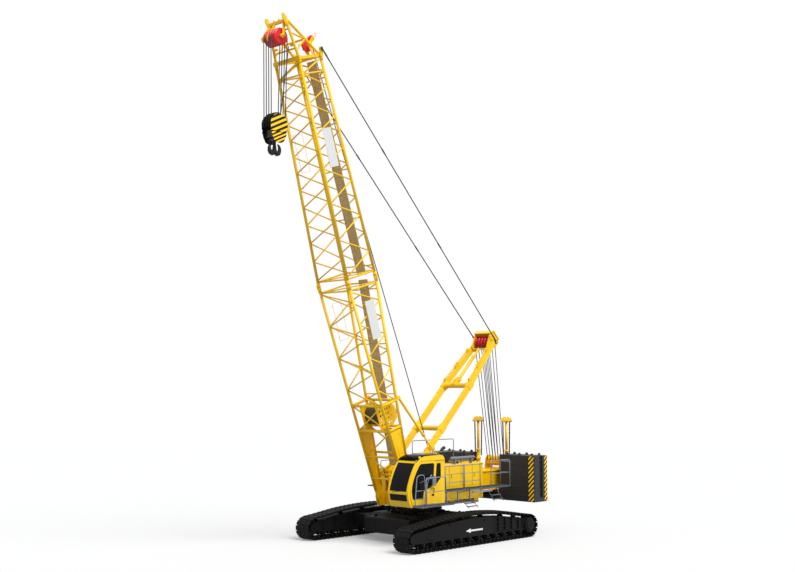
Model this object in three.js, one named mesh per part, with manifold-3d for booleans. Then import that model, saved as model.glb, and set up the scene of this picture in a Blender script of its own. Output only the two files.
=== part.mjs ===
// A lattice-boom crawler crane at full size, in millimetres.
// +X points forward, +Y to the machine's left and +Z up; the origin lies on the ground under the slew axis.
import * as THREE from "three";
import { mergeVertices } from "three/addons/utils/BufferGeometryUtils.js";
import Module from "manifold-3d";

const wasm = await Module();
wasm.setup();

// ---------------------------------------------------------------- driving dimensions
const seat = 0.3; // gap left between two pieces that touch
const pinGap = 0.6; // clearance between a pin and the flats of the bore that turns on it
const pinSides = 16;
const wheelSides = 16;
const chordSides = 6;
const tubeSides = 4;

const trackLength = 8300;
const trackOverallWidth = 6680;
const shoeWidth = 850;
const shoeThickness = 50;
const shoePitch = 260;
const linkHeight = 100;
const linkWidth = 280;
const idlerRadius = 500; // over the shoes
const trackCrest = 1330; // highest point of the carrying run
const trackCrestX = -250;
const frameWidth = 630;
const frameBottom = 370;
const rollerRadius = 120;
const rollerCount = 12;
const frameTopGap = 215; // from the top run's shoes down to the side frame

const carbodyLength = 2900;
const carbodyWidth = 3000;
const carbodyBottom = 430;
const carbodyTop = 1120;
const crossBeamX = 1000;
const crossBeamWidth = 700;
const bodyWeightDepth = 520;
const bodyWeightWidth = 2660;
const slewRadius = 1000;
const slewRingHeight = 160;
const pedestalHeight = 170;

const deckBottom = 1450 + seat;
const deckTop = 2050;
const deckHalfWidth = 760;
const deckFront = 1560;
const deckRear = -5650;
const rearBeamX = -2850;
const rearBeamHalfWidth = 700;
const rearBeamTop = 2720;
const rearBeamBottom = 1850;
const outriggerTop = deckBottom + 200;
const sidePlate = 40;

const boomFootX = 1443;
const boomFootZ = 1841;
const boomAngle = 72.54;
const boomJoint = 9450;
const boomHeadAt = 18700;
const boomHalfWidth = 895;
const boomHeadHalfWidth = 715;
const boomFootHalfDepth = 155;
const boomJointHalfDepth = 805;
const boomHeadHalfDepth = 585;
const chordRadius = 62;
const lacingRadius = 28;
const boomPin = 80;
const boomLug = 110; // thickness of the boom's foot lug
const baseFrameLow = 3080;
const baseFrameHigh = 4200;

const mastFootX = 1030;
const mastFootZ = 2950;
const mastAngle = 135;
const mastLength = 8060;
const mastArmY = 750;
const mastHeadY = 480;
const mastArmDepth = 290;
const mastArmWidth = 190;
const mastBeamLow = 2490;
const mastBeamHigh = 5130;
const mastPin = 60;

const headSheaveAt = 19670;
const headSheaveOut = 936;
const headSheaveRadius = 340;
const headSheavePitch = 150;
const headSheaveCount = 5;
const blockSheaveCount = 4;
const ropeRadius = 14;

const pendantAt = 18950;
const pendantOut = -620;
const pendantBoomY = 800;
const pendantMastY = 600;
const pendantRadius = 26;

const cabRear = 700;
const cabGap = 80; // from the boom's foot lug to the cab
const cabWidth = 1150;
const cabInner = boomHalfWidth + boomLug / 2 + cabGap;
const cabOuter = cabInner + cabWidth;
const cabFloor = outriggerTop + seat;
const cabWall = 60;
const glass = 10;

const stackFront = -4340;
const stackDepth = 1000;
const stackInner = 1000;
const stackOuter = 3000;
const stackBottom = 1410;
const stackTop = 3450;
const slabCount = 4;
const liftX = -5080;
const liftY = 850;
const liftTop = 5130;

// ---------------------------------------------------------------- colours
const paint = (name, color, roughness, metalness) =>
  new THREE.MeshStandardMaterial({ name, color, roughness, metalness });
const craneYellow = paint("crane_yellow", 0xf7bd14, 0.42, 0.1);
const blackPaint = paint("black_paint", 0x1c1c1c, 0.6, 0.1);
const ballastGrey = paint("ballast_grey", 0x3a3834, 0.7, 0.05);
const trackSteel = paint("track_steel", 0x222222, 0.7, 0.4);
const sheaveRed = paint("sheave_red", 0xd01828, 0.45, 0.05);
const railGrey = paint("rail_grey", 0x8d97a3, 0.5, 0.3);
const tintedGlass = paint("tinted_glass", 0x15171a, 0.08, 0);
const ropeSteel = paint("rope_steel", 0x4a4a4c, 0.5, 0.8);
const meshTan = paint("mesh_tan", 0xa8946a, 0.8, 0.1);
const seatFabric = paint("seat_fabric", 0x2b2c30, 0.9, 0);

// ---------------------------------------------------------------- solids
const radians = (degrees) => (degrees * Math.PI) / 180;

function solid(geometry) {
  geometry.deleteAttribute("normal");
  geometry.deleteAttribute("uv");
  const merged = mergeVertices(geometry, 1e-3);
  return new wasm.Manifold(
    new wasm.Mesh({
      numProp: 3,
      vertProperties: new Float32Array(merged.attributes.position.array),
      triVerts: new Uint32Array(merged.index.array),
    }),
  );
}

const join = (solids) => wasm.Manifold.union(solids);
const cut = (body, tools) => body.subtract(join(tools));
const mirrorY = (body) => body.mirror([0, 1, 0]);

function box(x0, x1, y0, y1, z0, z1) {
  const g = new THREE.BoxGeometry(x1 - x0, y1 - y0, z1 - z0);
  g.translate((x0 + x1) / 2, (y0 + y1) / 2, (z0 + z1) / 2);
  return solid(g);
}

// A round bar between two points, with one vertex of its section set at "turn" degrees.
function bar(a, b, radius, sides = 8, endRadius = radius, turn = 0) {
  const from = new THREE.Vector3(...a);
  const to = new THREE.Vector3(...b);
  const along = to.clone().sub(from);
  const g = new THREE.CylinderGeometry(endRadius, radius, along.length(), sides);
  g.rotateY(radians(turn));
  g.applyQuaternion(
    new THREE.Quaternion().setFromUnitVectors(new THREE.Vector3(0, 1, 0), along.clone().normalize()),
  );
  const middle = from.add(to).multiplyScalar(0.5);
  g.translate(middle.x, middle.y, middle.z);
  return solid(g);
}

// A disc or drum on an axis along Y.
const disc = (x, z, y0, y1, radius, sides = 24) => bar([x, y0, z], [x, y1, z], radius, sides);

// The hole along Y for a pin of this radius, its flats facing the pin's corners.
const boreRadius = (radius) => (radius + pinGap) / Math.cos(Math.PI / pinSides);
const bore = (x, z, y0, y1, radius) =>
  bar([x, y0, z], [x, y1, z], boreRadius(radius), pinSides, boreRadius(radius), 180 / pinSides);

// An outline in the XZ plane, carried from y0 to y1.
function plate(outline, y0, y1, holes = []) {
  const shape = new THREE.Shape(outline.map(([x, z]) => new THREE.Vector2(x, z)));
  for (const hole of holes) {
    shape.holes.push(new THREE.Path(hole.map(([x, z]) => new THREE.Vector2(x, z))));
  }
  const g = new THREE.ExtrudeGeometry(shape, { depth: y1 - y0, bevelEnabled: false });
  g.rotateX(Math.PI / 2);
  g.translate(0, y1, 0);
  return solid(g);
}

// A square or flat bar between two points of one XZ plane, y0 to y1 wide.
function slab(a, b, thickness, y0, y1) {
  const dx = b[0] - a[0];
  const dz = b[1] - a[1];
  const half = thickness / 2 / Math.hypot(dx, dz);
  const nx = -dz * half;
  const nz = dx * half;
  return plate(
    [
      [a[0] - nx, a[1] - nz],
      [b[0] - nx, b[1] - nz],
      [b[0] + nx, b[1] + nz],
      [a[0] + nx, a[1] + nz],
    ],
    y0,
    y1,
  );
}

// A round-ended lug: a plate from a foot edge up to an eye of the given radius.
function lug(foot0, foot1, eye, radius, y0, y1) {
  const steps = 6;
  const turnsRight =
    (foot0[0] - eye[0]) * (foot1[1] - eye[1]) - (foot0[1] - eye[1]) * (foot1[0] - eye[0]) > 0;
  const [start, end] = turnsRight ? [foot0, foot1] : [foot1, foot0];
  const points = [start];
  const base = Math.atan2((foot0[1] + foot1[1]) / 2 - eye[1], (foot0[0] + foot1[0]) / 2 - eye[0]);
  for (let i = 0; i <= steps; i++) {
    const a = base - Math.PI / 2 - (Math.PI * i) / steps;
    points.push([eye[0] + radius * Math.cos(a), eye[1] + radius * Math.sin(a)]);
  }
  points.push(end);
  return plate(points, y0, y1);
}

// The outline moved inwards by "distance"; its points run anticlockwise.
function inset(outline, distance) {
  const n = outline.length;
  return outline.map((p, i) => {
    const a = outline[(i + n - 1) % n];
    const b = outline[(i + 1) % n];
    const u = new THREE.Vector2(p[0] - a[0], p[1] - a[1]).normalize();
    const v = new THREE.Vector2(b[0] - p[0], b[1] - p[1]).normalize();
    const bisector = new THREE.Vector2(-u.y - v.y, u.x + v.x).normalize();
    const reach = distance / Math.max(0.3, bisector.dot(new THREE.Vector2(-u.y, u.x)));
    return [p[0] + bisector.x * reach, p[1] + bisector.y * reach];
  });
}

const crane = new THREE.Group();

function add(name, body, material) {
  const mesh = body.getMesh();
  const g = new THREE.BufferGeometry();
  g.setAttribute("position", new THREE.BufferAttribute(new Float32Array(mesh.vertProperties), 3));
  g.setIndex(new THREE.BufferAttribute(new Uint32Array(mesh.triVerts), 1));
  g.computeVertexNormals();
  const node = new THREE.Mesh(g, material);
  node.name = name;
  crane.add(node);
}

// ---------------------------------------------------------------- tracks
const trackHalf = trackLength / 2;
const idlerX = trackHalf - idlerRadius;
const trackOuterY = trackOverallWidth / 2;
const trackY = trackOuterY - shoeWidth / 2;
const beltDepth = shoeThickness + linkHeight;
const wheelRadius = idlerRadius - beltDepth;

// The closed path of the track at "depth" inside the shoes' outer faces, as points in XZ.
function trackPath(depth, step) {
  const r = idlerRadius - depth;
  const turns = 12;
  const front = [];
  const rear = [];
  for (let i = 0; i <= turns; i++) {
    const a = -Math.PI / 2 + (Math.PI * i) / turns;
    front.push([idlerX + r * Math.cos(a), idlerRadius + r * Math.sin(a)]);
    rear.push([-idlerX - r * Math.cos(a), idlerRadius - r * Math.sin(a)]);
  }
  const top = new THREE.CatmullRomCurve3([
    new THREE.Vector3(idlerX, 0, 2 * idlerRadius - depth),
    new THREE.Vector3((idlerX + trackCrestX) / 2, 0, trackCrest - 90 - depth),
    new THREE.Vector3(trackCrestX, 0, trackCrest - depth),
    new THREE.Vector3((-idlerX + trackCrestX) / 2, 0, trackCrest - 90 - depth),
    new THREE.Vector3(-idlerX, 0, 2 * idlerRadius - depth),
  ]);
  const run = top.getSpacedPoints(Math.round((2 * idlerX) / step)).map((p) => [p.x, p.z]);
  return [...front, ...run.slice(1, -1), ...rear];
}

function pathLengths(points) {
  const at = [0];
  points.forEach((p, i) => {
    const q = points[(i + 1) % points.length];
    at.push(at[i] + Math.hypot(q[0] - p[0], q[1] - p[1]));
  });
  return at;
}

// The shoes' outer outline: each shoe is a flat plate, with a notch between it and the next.
function shoeOutline() {
  const path = trackPath(0, shoePitch);
  const at = pathLengths(path);
  const total = at[at.length - 1];
  const count = Math.round(total / shoePitch);
  const pointAt = (s, depth) => {
    const w = ((s % total) + total) % total;
    let i = at.findIndex((value) => value > w) - 1;
    if (i < 0) i = path.length - 1;
    const p = path[i];
    const q = path[(i + 1) % path.length];
    const span = at[i + 1] - at[i];
    const t = (w - at[i]) / span;
    const nx = -(q[1] - p[1]) / span;
    const nz = (q[0] - p[0]) / span;
    return [p[0] + t * (q[0] - p[0]) + nx * depth, p[1] + t * (q[1] - p[1]) + nz * depth];
  };
  const gap = 24;
  const notch = 30;
  const outline = [];
  for (let i = 0; i < count; i++) {
    const s = (i * total) / count;
    outline.push(pointAt(s + gap / 2, 0));
    outline.push(pointAt(s + total / count - gap / 2, 0));
    outline.push(pointAt(s + total / count, notch));
  }
  return outline;
}

function makeTrack() {
  const shoes = plate(shoeOutline(), trackY - shoeWidth / 2, trackY + shoeWidth / 2, [
    trackPath(shoeThickness, 600).reverse(),
  ]);
  const links = plate(trackPath(shoeThickness - 5, 600), trackY - linkWidth / 2, trackY + linkWidth / 2, [
    trackPath(beltDepth, 600).reverse(),
  ]);
  return join([shoes, links]);
}

const topRunZ = (x) => {
  const run = trackPath(0, 300).filter(([, z]) => z > 2 * idlerRadius - 1);
  const i = run.findIndex(([px]) => px < x);
  const [a, b] = [run[Math.max(0, i - 1)], run[Math.max(1, i)]];
  return a[1] + ((b[1] - a[1]) * (x - a[0])) / (b[0] - a[0]);
};

const frameInnerY = trackY - frameWidth / 2;
const frameOuterY = trackY + frameWidth / 2;
const axleRadius = 110;
const slotHalf = 200; // half width of the slot that each end wheel runs in

function makeTrackFrame() {
  const outline = [];
  outline.push([-idlerX + 40, frameBottom]);
  outline.push([idlerX + 120, frameBottom]);
  outline.push([idlerX + 260, idlerRadius]);
  outline.push([idlerX + 190, idlerRadius + 170]);
  for (let x = idlerX - 60; x > -idlerX; x -= 620) {
    outline.push([x, topRunZ(x) - frameTopGap]);
  }
  outline.push([-idlerX - 120, 2 * idlerRadius - frameTopGap]);
  outline.push([-idlerX - 240, idlerRadius + 40]);
  outline.push([-idlerX - 120, frameBottom]);
  const beam = plate(outline, frameInnerY, frameOuterY);
  const slot = wheelRadius + 70;
  const slots = [1, -1].map((end) =>
    box(
      Math.min(end * idlerX - end * slot, end * (trackHalf + 100)),
      Math.max(end * idlerX - end * slot, end * (trackHalf + 100)),
      trackY - slotHalf,
      trackY + slotHalf,
      -100,
      2 * idlerRadius + 400,
    ),
  );
  const rollers = [];
  const first = idlerX - 560;
  for (let i = 0; i < rollerCount; i++) {
    const x = first - (2 * first * i) / (rollerCount - 1);
    const z = beltDepth + seat + rollerRadius;
    rollers.push(disc(x, z, trackY - 245, trackY + 245, rollerRadius, 8));
  }
  const axleZ = beltDepth + seat + rollerRadius;
  for (const y of [trackY - 300, trackY + 240]) {
    rollers.push(box(-first - 160, first + 160, y, y + 60, axleZ - 50, frameBottom + 20));
  }
  const carriers = [];
  for (const x of [1900, trackCrestX, -2350]) {
    const z = topRunZ(x) - beltDepth - 3 - 80;
    carriers.push(disc(x, z, trackY - 130, trackY + 130, 80, 12));
    carriers.push(box(x - 60, x + 60, trackY - 60, trackY + 60, z - 200, z));
  }
  return join([cut(beam, slots), ...rollers, ...carriers]);
}

function makeIdler() {
  const rim = disc(idlerX, idlerRadius, trackY - 120, trackY + 120, wheelRadius - 4, 20);
  const hub = disc(idlerX, idlerRadius, trackY - slotHalf + seat, trackY + slotHalf - seat, 150, 16);
  return join([rim, hub]);
}

function makeSprocket() {
  const teeth = 13;
  const outline = [];
  for (let i = 0; i < teeth; i++) {
    for (const [t, r] of [
      [-0.28, wheelRadius - 45],
      [-0.12, wheelRadius - 6],
      [0.12, wheelRadius - 6],
      [0.28, wheelRadius - 45],
    ]) {
      const a = (2 * Math.PI * (i + t)) / teeth;
      outline.push([-idlerX + r * Math.cos(a), idlerRadius + r * Math.sin(a)]);
    }
  }
  const hub = disc(-idlerX, idlerRadius, trackY - slotHalf + seat, trackY + slotHalf - seat, 230, 12);
  return join([plate(outline, trackY - 80, trackY + 80), hub]);
}

// The final drive's round cover stands on the frame's outer cheek behind the side panel.
const driveCover = join([
  disc(-idlerX, idlerRadius, frameOuterY - 1, frameOuterY + 60, 320, 16),
  disc(-idlerX, idlerRadius, frameOuterY + 50, frameOuterY + 90, 210, 12),
]);
const driveMotor = disc(-idlerX, idlerRadius, frameInnerY - 150, frameInnerY + 1, 240, 12);

const track = makeTrack();
const trackFrame = join([makeTrackFrame(), driveCover, driveMotor]);
const idler = makeIdler();
const sprocket = makeSprocket();
add("left_track", track, trackSteel);
add("right_track", mirrorY(track), trackSteel);
add("left_track_frame", trackFrame, blackPaint);
add("right_track_frame", mirrorY(trackFrame), blackPaint);
add("left_idler_wheel", idler, blackPaint);
add("right_idler_wheel", mirrorY(idler), blackPaint);
add("left_drive_sprocket", sprocket, blackPaint);
add("right_drive_sprocket", mirrorY(sprocket), blackPaint);

// ---------------------------------------------------------------- carbody
const half = carbodyLength / 2;
const beamReach = frameInnerY - seat;
const pedestalTop = carbodyTop + pedestalHeight;
const carbody = join([
  plate(
    [
      [-half, carbodyBottom],
      [half, carbodyBottom],
      [half, carbodyTop - 120],
      [half - 200, carbodyTop],
      [-half + 200, carbodyTop],
      [-half, carbodyTop - 120],
    ],
    -carbodyWidth / 2,
    carbodyWidth / 2,
  ),
  ...[-1, 1].map((end) =>
    box(
      end * crossBeamX - crossBeamWidth / 2,
      end * crossBeamX + crossBeamWidth / 2,
      -beamReach,
      beamReach,
      carbodyBottom + 60,
      carbodyTop - 150,
    ),
  ),
  bar([0, 0, carbodyTop - 1], [0, 0, pedestalTop], slewRadius - 40, 32, slewRadius - 80),
]);
add("carbody", carbody, blackPaint);

function bodyWeight(end) {
  const near = half + seat;
  const far = half + bodyWeightDepth;
  const outline = [
    [near, carbodyBottom - 80],
    [far, carbodyBottom - 80],
    [far, carbodyTop - 170],
    [far - 60, carbodyTop - 110],
    [near, carbodyTop - 130],
  ];
  const block = plate(outline, -bodyWeightWidth / 2, bodyWeightWidth / 2);
  return end > 0 ? block : block.mirror([1, 0, 0]);
}
add("carbody_weight_front", bodyWeight(1), blackPaint);
add("carbody_weight_rear", bodyWeight(-1), blackPaint);

const ringBottom = pedestalTop + seat;
const slewRing = cut(bar([0, 0, ringBottom], [0, 0, deckBottom - seat], slewRadius, 28), [
  bar([0, 0, ringBottom - 10], [0, 0, ringBottom + slewRingHeight + 10], slewRadius - 160, 28),
]);
add("slew_ring", slewRing, blackPaint);

// ---------------------------------------------------------------- turntable
const boomEye = [boomFootX, boomFootZ];
const mastEye = [mastFootX, mastFootZ];
const cheek = 45;
const cheekGap = 6;
const mastClevis = 30;
const mastClevisInner = mastArmY - mastArmWidth / 2 - cheekGap;
const mastClevisOuter = mastArmY + mastArmWidth / 2 + cheekGap;
const deckParts = [];
deckParts.push(box(rearBeamX, deckFront - 330, -deckHalfWidth, deckHalfWidth, deckBottom, deckTop));
deckParts.push(
  plate(
    [
      [deckRear, rearBeamBottom],
      [rearBeamX - 500, rearBeamBottom],
      [rearBeamX + 400, deckBottom],
      [rearBeamX + 900, deckBottom],
      [rearBeamX + 900, deckTop],
      [rearBeamX + 300, rearBeamTop],
      [deckRear, rearBeamTop],
    ],
    -rearBeamHalfWidth,
    rearBeamHalfWidth,
  ),
);
for (const side of [-1, 1]) {
  // Clevis plates at the boom's foot.
  for (const inner of [
    boomHalfWidth - boomLug / 2 - cheekGap - cheek,
    boomHalfWidth + boomLug / 2 + cheekGap,
  ]) {
    const y = side > 0 ? inner : -inner - cheek;
    deckParts.push(
      lug([boomFootX - 560, deckBottom], [boomFootX + 60, deckBottom], boomEye, 185, y, y + cheek),
    );
  }
  const bridge = boomHalfWidth + boomLug / 2 + cheekGap + cheek;
  deckParts.push(
    box(
      boomFootX - 620,
      boomFootX - 260,
      Math.min(side * bridge, side * (deckHalfWidth - 10)),
      Math.max(side * bridge, side * (deckHalfWidth - 10)),
      deckBottom,
      deckTop - 120,
    ),
  );
  deckParts.push(
    bar(
      [boomFootX, side * (boomHalfWidth - boomLug / 2 - cheekGap - cheek - 30), boomFootZ],
      [boomFootX, side * (bridge + 18), boomFootZ],
      boomPin,
      pinSides,
    ),
  );
  // Clevis plates of the mast's foot, standing on the deck.
  for (const inner of [mastClevisInner - mastClevis, mastClevisOuter]) {
    const y = side > 0 ? inner : -inner - mastClevis;
    deckParts.push(
      lug(
        [mastFootX - 560, deckTop - 60],
        [mastFootX + 140, deckTop - 60],
        mastEye,
        170,
        y,
        y + mastClevis,
      ),
    );
  }
  deckParts.push(
    box(
      mastFootX - 520,
      mastFootX - 250,
      Math.min(side * (mastClevisInner - 10), side * (mastClevisOuter + 10)),
      Math.max(side * (mastClevisInner - 10), side * (mastClevisOuter + 10)),
      deckTop - 60,
      deckTop + 300,
    ),
  );
  deckParts.push(
    bar(
      [mastFootX, side * (mastClevisInner - 50), mastFootZ],
      [mastFootX, side * (mastClevisOuter + 42), mastFootZ],
      mastPin,
      pinSides,
    ),
  );
}
// Outriggers that carry the cab, the housings and the counterweight tray.
deckParts.push(box(900, 1200, -1000, cabInner + 420, deckBottom, deckBottom + 200));
const outriggerRight = -2000;
const outriggerLeft = 1320;
deckParts.push(box(-900, -600, outriggerRight, outriggerLeft, deckBottom, deckBottom + 200));
deckParts.push(box(-2500, -2200, outriggerRight, outriggerLeft, deckBottom, deckBottom + 200));
add("turntable_frame", join(deckParts), craneYellow);

// ---------------------------------------------------------------- counterweight
const trayHeight = 190;
const trayTop = stackBottom + trayHeight;
const stackRear = stackFront - stackDepth;
add(
  "counterweight_tray",
  join([
    box(stackRear, stackFront, -stackOuter, stackOuter, stackBottom, trayTop),
    box(stackRear + 200, stackFront - 200, -500, 500, trayTop - 10, rearBeamBottom - seat),
  ]),
  ballastGrey,
);

function makeStack() {
  const bottom = trayTop + seat;
  const height = (stackTop - bottom) / slabCount;
  const seam = 12;
  const parts = [];
  for (let i = 0; i < slabCount; i++) {
    const z = bottom + i * height;
    parts.push(box(stackRear, stackFront, stackInner, stackOuter, z, z + height - seam));
    parts.push(box(stackRear + 20, stackFront - 20, stackInner + 20, stackOuter - 20, z, z + height));
  }
  for (const x of [stackRear + 230, stackFront - 230]) {
    for (const y of [stackInner + 300, stackOuter - 300]) {
      parts.push(slab([x - 70, stackTop + 40], [x + 70, stackTop + 40], 110, y - 20, y + 20));
    }
  }
  return cut(join(parts), [
    box(stackRear + 380, stackRear + 620, stackOuter - 90, stackOuter + 10, bottom + 200, stackTop + 100),
  ]);
}
const stack = makeStack();
add("left_counterweight_stack", stack, ballastGrey);
add("right_counterweight_stack", mirrorY(stack), ballastGrey);

// ---------------------------------------------------------------- lifting cylinders of the counterweight
function makeLift() {
  const foot = rearBeamTop - 60;
  return join([
    box(liftX - 160, liftX + 160, rearBeamHalfWidth + seat, liftY + 60, foot - 500, foot - 150),
    disc(liftX, foot - 330, rearBeamHalfWidth + seat, liftY, 120, 12),
    bar([liftX, liftY, foot - 480], [liftX, liftY, foot + 900], 120, 16),
    bar([liftX, liftY, foot + 890], [liftX, liftY, liftTop - 150], 75, 12),
    plate(
      [
        [liftX - 230, liftTop - 210],
        [liftX + 230, liftTop - 210],
        [liftX + 215, liftTop - 110],
        [liftX + 120, liftTop - 20],
        [liftX, liftTop],
        [liftX - 120, liftTop - 20],
        [liftX - 215, liftTop - 110],
      ],
      liftY - 95,
      liftY + 95,
    ),
  ]);
}
const lift = makeLift();
add("left_lift_cylinder", lift, craneYellow);
add("right_lift_cylinder", mirrorY(lift), craneYellow);

// ---------------------------------------------------------------- lower luffing sheave block
const blockX = -5330;
const blockZ = rearBeamTop + 360;
const blockShaft = 60;
const blockCheekY = 410;
const blockCheek = 30;
const blockFloor = rearBeamTop + seat;
add(
  "luffing_sheave_block",
  join([
    box(
      blockX - 300,
      blockX + 300,
      -blockCheekY - blockCheek,
      blockCheekY + blockCheek,
      blockFloor,
      blockFloor + 50,
    ),
    ...[-blockCheekY - blockCheek, blockCheekY].map((y) =>
      lug([blockX - 280, blockFloor], [blockX + 280, blockFloor], [blockX, blockZ], 250, y, y + blockCheek),
    ),
    disc(blockX, blockZ, -blockCheekY - 10, blockCheekY + 10, blockShaft, pinSides),
  ]),
  craneYellow,
);

// A row of sheaves on one hub, bored for a shaft along Y.
function sheaveCluster([x, z], count, pitch, radius, shaft, thickness = 60) {
  const reach = ((count - 1) * pitch) / 2 + thickness / 2;
  const parts = [disc(x, z, -reach, reach, shaft + 60, 12)];
  for (let i = 0; i < count; i++) {
    const y = (i - (count - 1) / 2) * pitch;
    parts.push(disc(x, z, y - thickness / 2, y + thickness / 2, radius, wheelSides));
  }
  return cut(join(parts), [bore(x, z, -reach - 10, reach + 10, shaft)]);
}
add("luffing_block_sheaves", sheaveCluster([blockX, blockZ], 5, 160, 230, blockShaft), sheaveRed);

// ---------------------------------------------------------------- machinery
const housingInner = 1000;
const housingOuter = 1340;
const housingRear = -2780;
const deckLine = outriggerTop + seat;
const housingTop = 3150;
add(
  "left_machinery_housing",
  box(housingRear, 560, housingInner, housingOuter, deckLine, housingTop),
  craneYellow,
);
const enginePanel = 30;
const engineHousing = { rear: -4150, front: 560, outer: 2050, top: 2930 };
const engineCase = box(
  engineHousing.rear,
  engineHousing.front,
  -engineHousing.outer,
  -housingInner,
  deckLine,
  engineHousing.top,
);
add(
  "right_machinery_housing",
  cut(engineCase, [
    box(
      engineHousing.rear + enginePanel,
      engineHousing.front - enginePanel,
      -engineHousing.outer + enginePanel,
      -housingInner - enginePanel,
      deckLine - 10,
      engineHousing.top - enginePanel,
    ),
  ]),
  craneYellow,
);
add("engine_block", box(-2900, -1100, -1900, -housingInner - 80, deckLine, deckLine + 1050), blackPaint);

// Winch drums on the deck: one winds the hoist rope, the other the luffing rope.
const drumAxle = 60;
function makeDrum(x, z, halfLength, barrel, flange, thickness) {
  return join([
    disc(x, z, -halfLength, halfLength, barrel, 12),
    disc(x, z, -halfLength, -halfLength + thickness, flange, wheelSides),
    disc(x, z, halfLength - thickness, halfLength, flange, wheelSides),
    disc(x, z, -halfLength - 70, halfLength + 70, drumAxle, pinSides),
  ]);
}

const deckSeat = deckTop + seat;
const hoistDrum = { x: -1430, z: deckTop + 560, halfLength: 420 };
const luffDrum = { x: -330, z: deckTop + 520, halfLength: 420 };
const drumBarrel = 290;
const drumFlange = 430;
const drumCheekGap = 12;
const drumCheek = 50;
const winchParts = [];
for (const drum of [hoistDrum, luffDrum]) {
  for (const side of [-1, 1]) {
    const inner = drum.halfLength + drumCheekGap;
    const y = side > 0 ? inner : -inner - drumCheek;
    winchParts.push(
      cut(lug([drum.x - 330, deckSeat], [drum.x + 330, deckSeat], [drum.x, drum.z], 150, y, y + drumCheek), [
        bore(drum.x, drum.z, y - 10, y + drumCheek + 10, drumAxle),
      ]),
    );
  }
}
const winchHalf = hoistDrum.halfLength + drumCheekGap + drumCheek;
winchParts.push(box(hoistDrum.x - 330, luffDrum.x + 330, -winchHalf, winchHalf, deckSeat, deckSeat + 40));
add("winch_frame", join(winchParts), craneYellow);
add(
  "hoist_winch_drum",
  makeDrum(hoistDrum.x, hoistDrum.z, hoistDrum.halfLength, drumBarrel, drumFlange, 30),
  craneYellow,
);
add(
  "luffing_winch_drum",
  makeDrum(luffDrum.x, luffDrum.z, luffDrum.halfLength, drumBarrel, drumFlange, 30),
  craneYellow,
);

// ---------------------------------------------------------------- walkways and handrails
const railRadius = 21;
const walkInner = housingOuter + seat;
const rail = (points) =>
  points.slice(1).map((p, i) => bar(points[i], p, railRadius, tubeSides));

function handrail(x0, x1, y, floor, height, posts) {
  const top = floor + height;
  const bars = rail([
    [x0, y, floor - 10],
    [x0, y, top],
    [x1, y, top],
    [x1, y, floor - 10],
  ]);
  bars.push(bar([x0, y, floor + height / 2], [x1, y, floor + height / 2], railRadius - 4, tubeSides));
  for (let i = 1; i < posts; i++) {
    const x = x0 + ((x1 - x0) * i) / posts;
    bars.push(bar([x, y, floor - 10], [x, y, top], railRadius, tubeSides));
  }
  for (const x of [x0, x1]) {
    bars.push(bar([x, y, top - 1], [x, y, top + 1], railRadius, tubeSides));
  }
  return bars;
}

const upperWalk = 2110;
const lowerWalk = outriggerTop + seat;
const walkPlate = 50;
const walkOuter = 2060;
const leftWalk = join([
  box(-3850, 560, walkInner, walkOuter, upperWalk, upperWalk + walkPlate),
  box(-1150, 560, walkOuter - 60, 2420, lowerWalk, lowerWalk + walkPlate),
  box(400, 440, walkOuter - 60, walkOuter, lowerWalk, upperWalk + 10),
  box(-1100, -1060, walkOuter - 60, walkOuter, lowerWalk, upperWalk + 10),
  ...handrail(-1760, 520, walkOuter - 20, upperWalk + walkPlate, 1030, 2),
  ...handrail(-3820, -2500, walkOuter - 20, upperWalk + walkPlate, 1130, 1),
]);
add("left_walkway", leftWalk, railGrey);
const rightWalkInner = engineHousing.outer + seat;
add(
  "right_walkway",
  join([
    box(-4150, 560, -rightWalkInner - 520, -rightWalkInner, upperWalk, upperWalk + walkPlate),
    ...handrail(-4120, 520, -rightWalkInner - 500, upperWalk + walkPlate, 1030, 4),
  ]),
  railGrey,
);
const roofTop = engineHousing.top + seat;
add(
  "roof_handrail",
  join([
    box(-4100, -1200, -1560, -1480, roofTop, roofTop + 12),
    ...handrail(-4060, -1240, -1520, roofTop + 10, 1130, 2),
  ]),
  railGrey,
);
add(
  "cab_walkway",
  join([
    box(cabRear - 130, 2640, cabOuter + seat, cabOuter + 420, lowerWalk, lowerWalk + walkPlate),
    ...handrail(cabRear - 100, 2260, cabOuter + 390, lowerWalk + walkPlate, 1120, 1),
  ]),
  railGrey,
);

// ---------------------------------------------------------------- cab
const cabOutline = [
  [cabRear, cabFloor],
  [2740, cabFloor],
  [2860, 1900],
  [2925, 2230],
  [2880, 2480],
  [2650, 3030],
  [2400, 3420],
  [2240, 3580],
  [1950, 3680],
  [950, 3700],
  [760, 3640],
  [cabRear, 3480],
];
const cabInside = inset(cabOutline, cabWall);

// Window outlines in the cab's side faces.
const doorGlassOutline = [
  [1450, 2640],
  [1600, 2420],
  [1990, 2290],
  [2080, 2050],
  [2660, 2050],
  [2730, 2330],
  [2650, 2620],
  [2500, 2980],
  [2310, 3260],
  [2190, 3370],
  [1400, 3380],
];
const quarterOutline = [
  [930, 2780],
  [1180, 2520],
  [1290, 2560],
  [1200, 3370],
  [940, 3370],
];
const doorOutline = [
  [1355, 1740],
  [2690, 1740],
  [2780, 2000],
  [2810, 2250],
  [2770, 2500],
  [2570, 3010],
  [2350, 3340],
  [2200, 3475],
  [1325, 3475],
];

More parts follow.
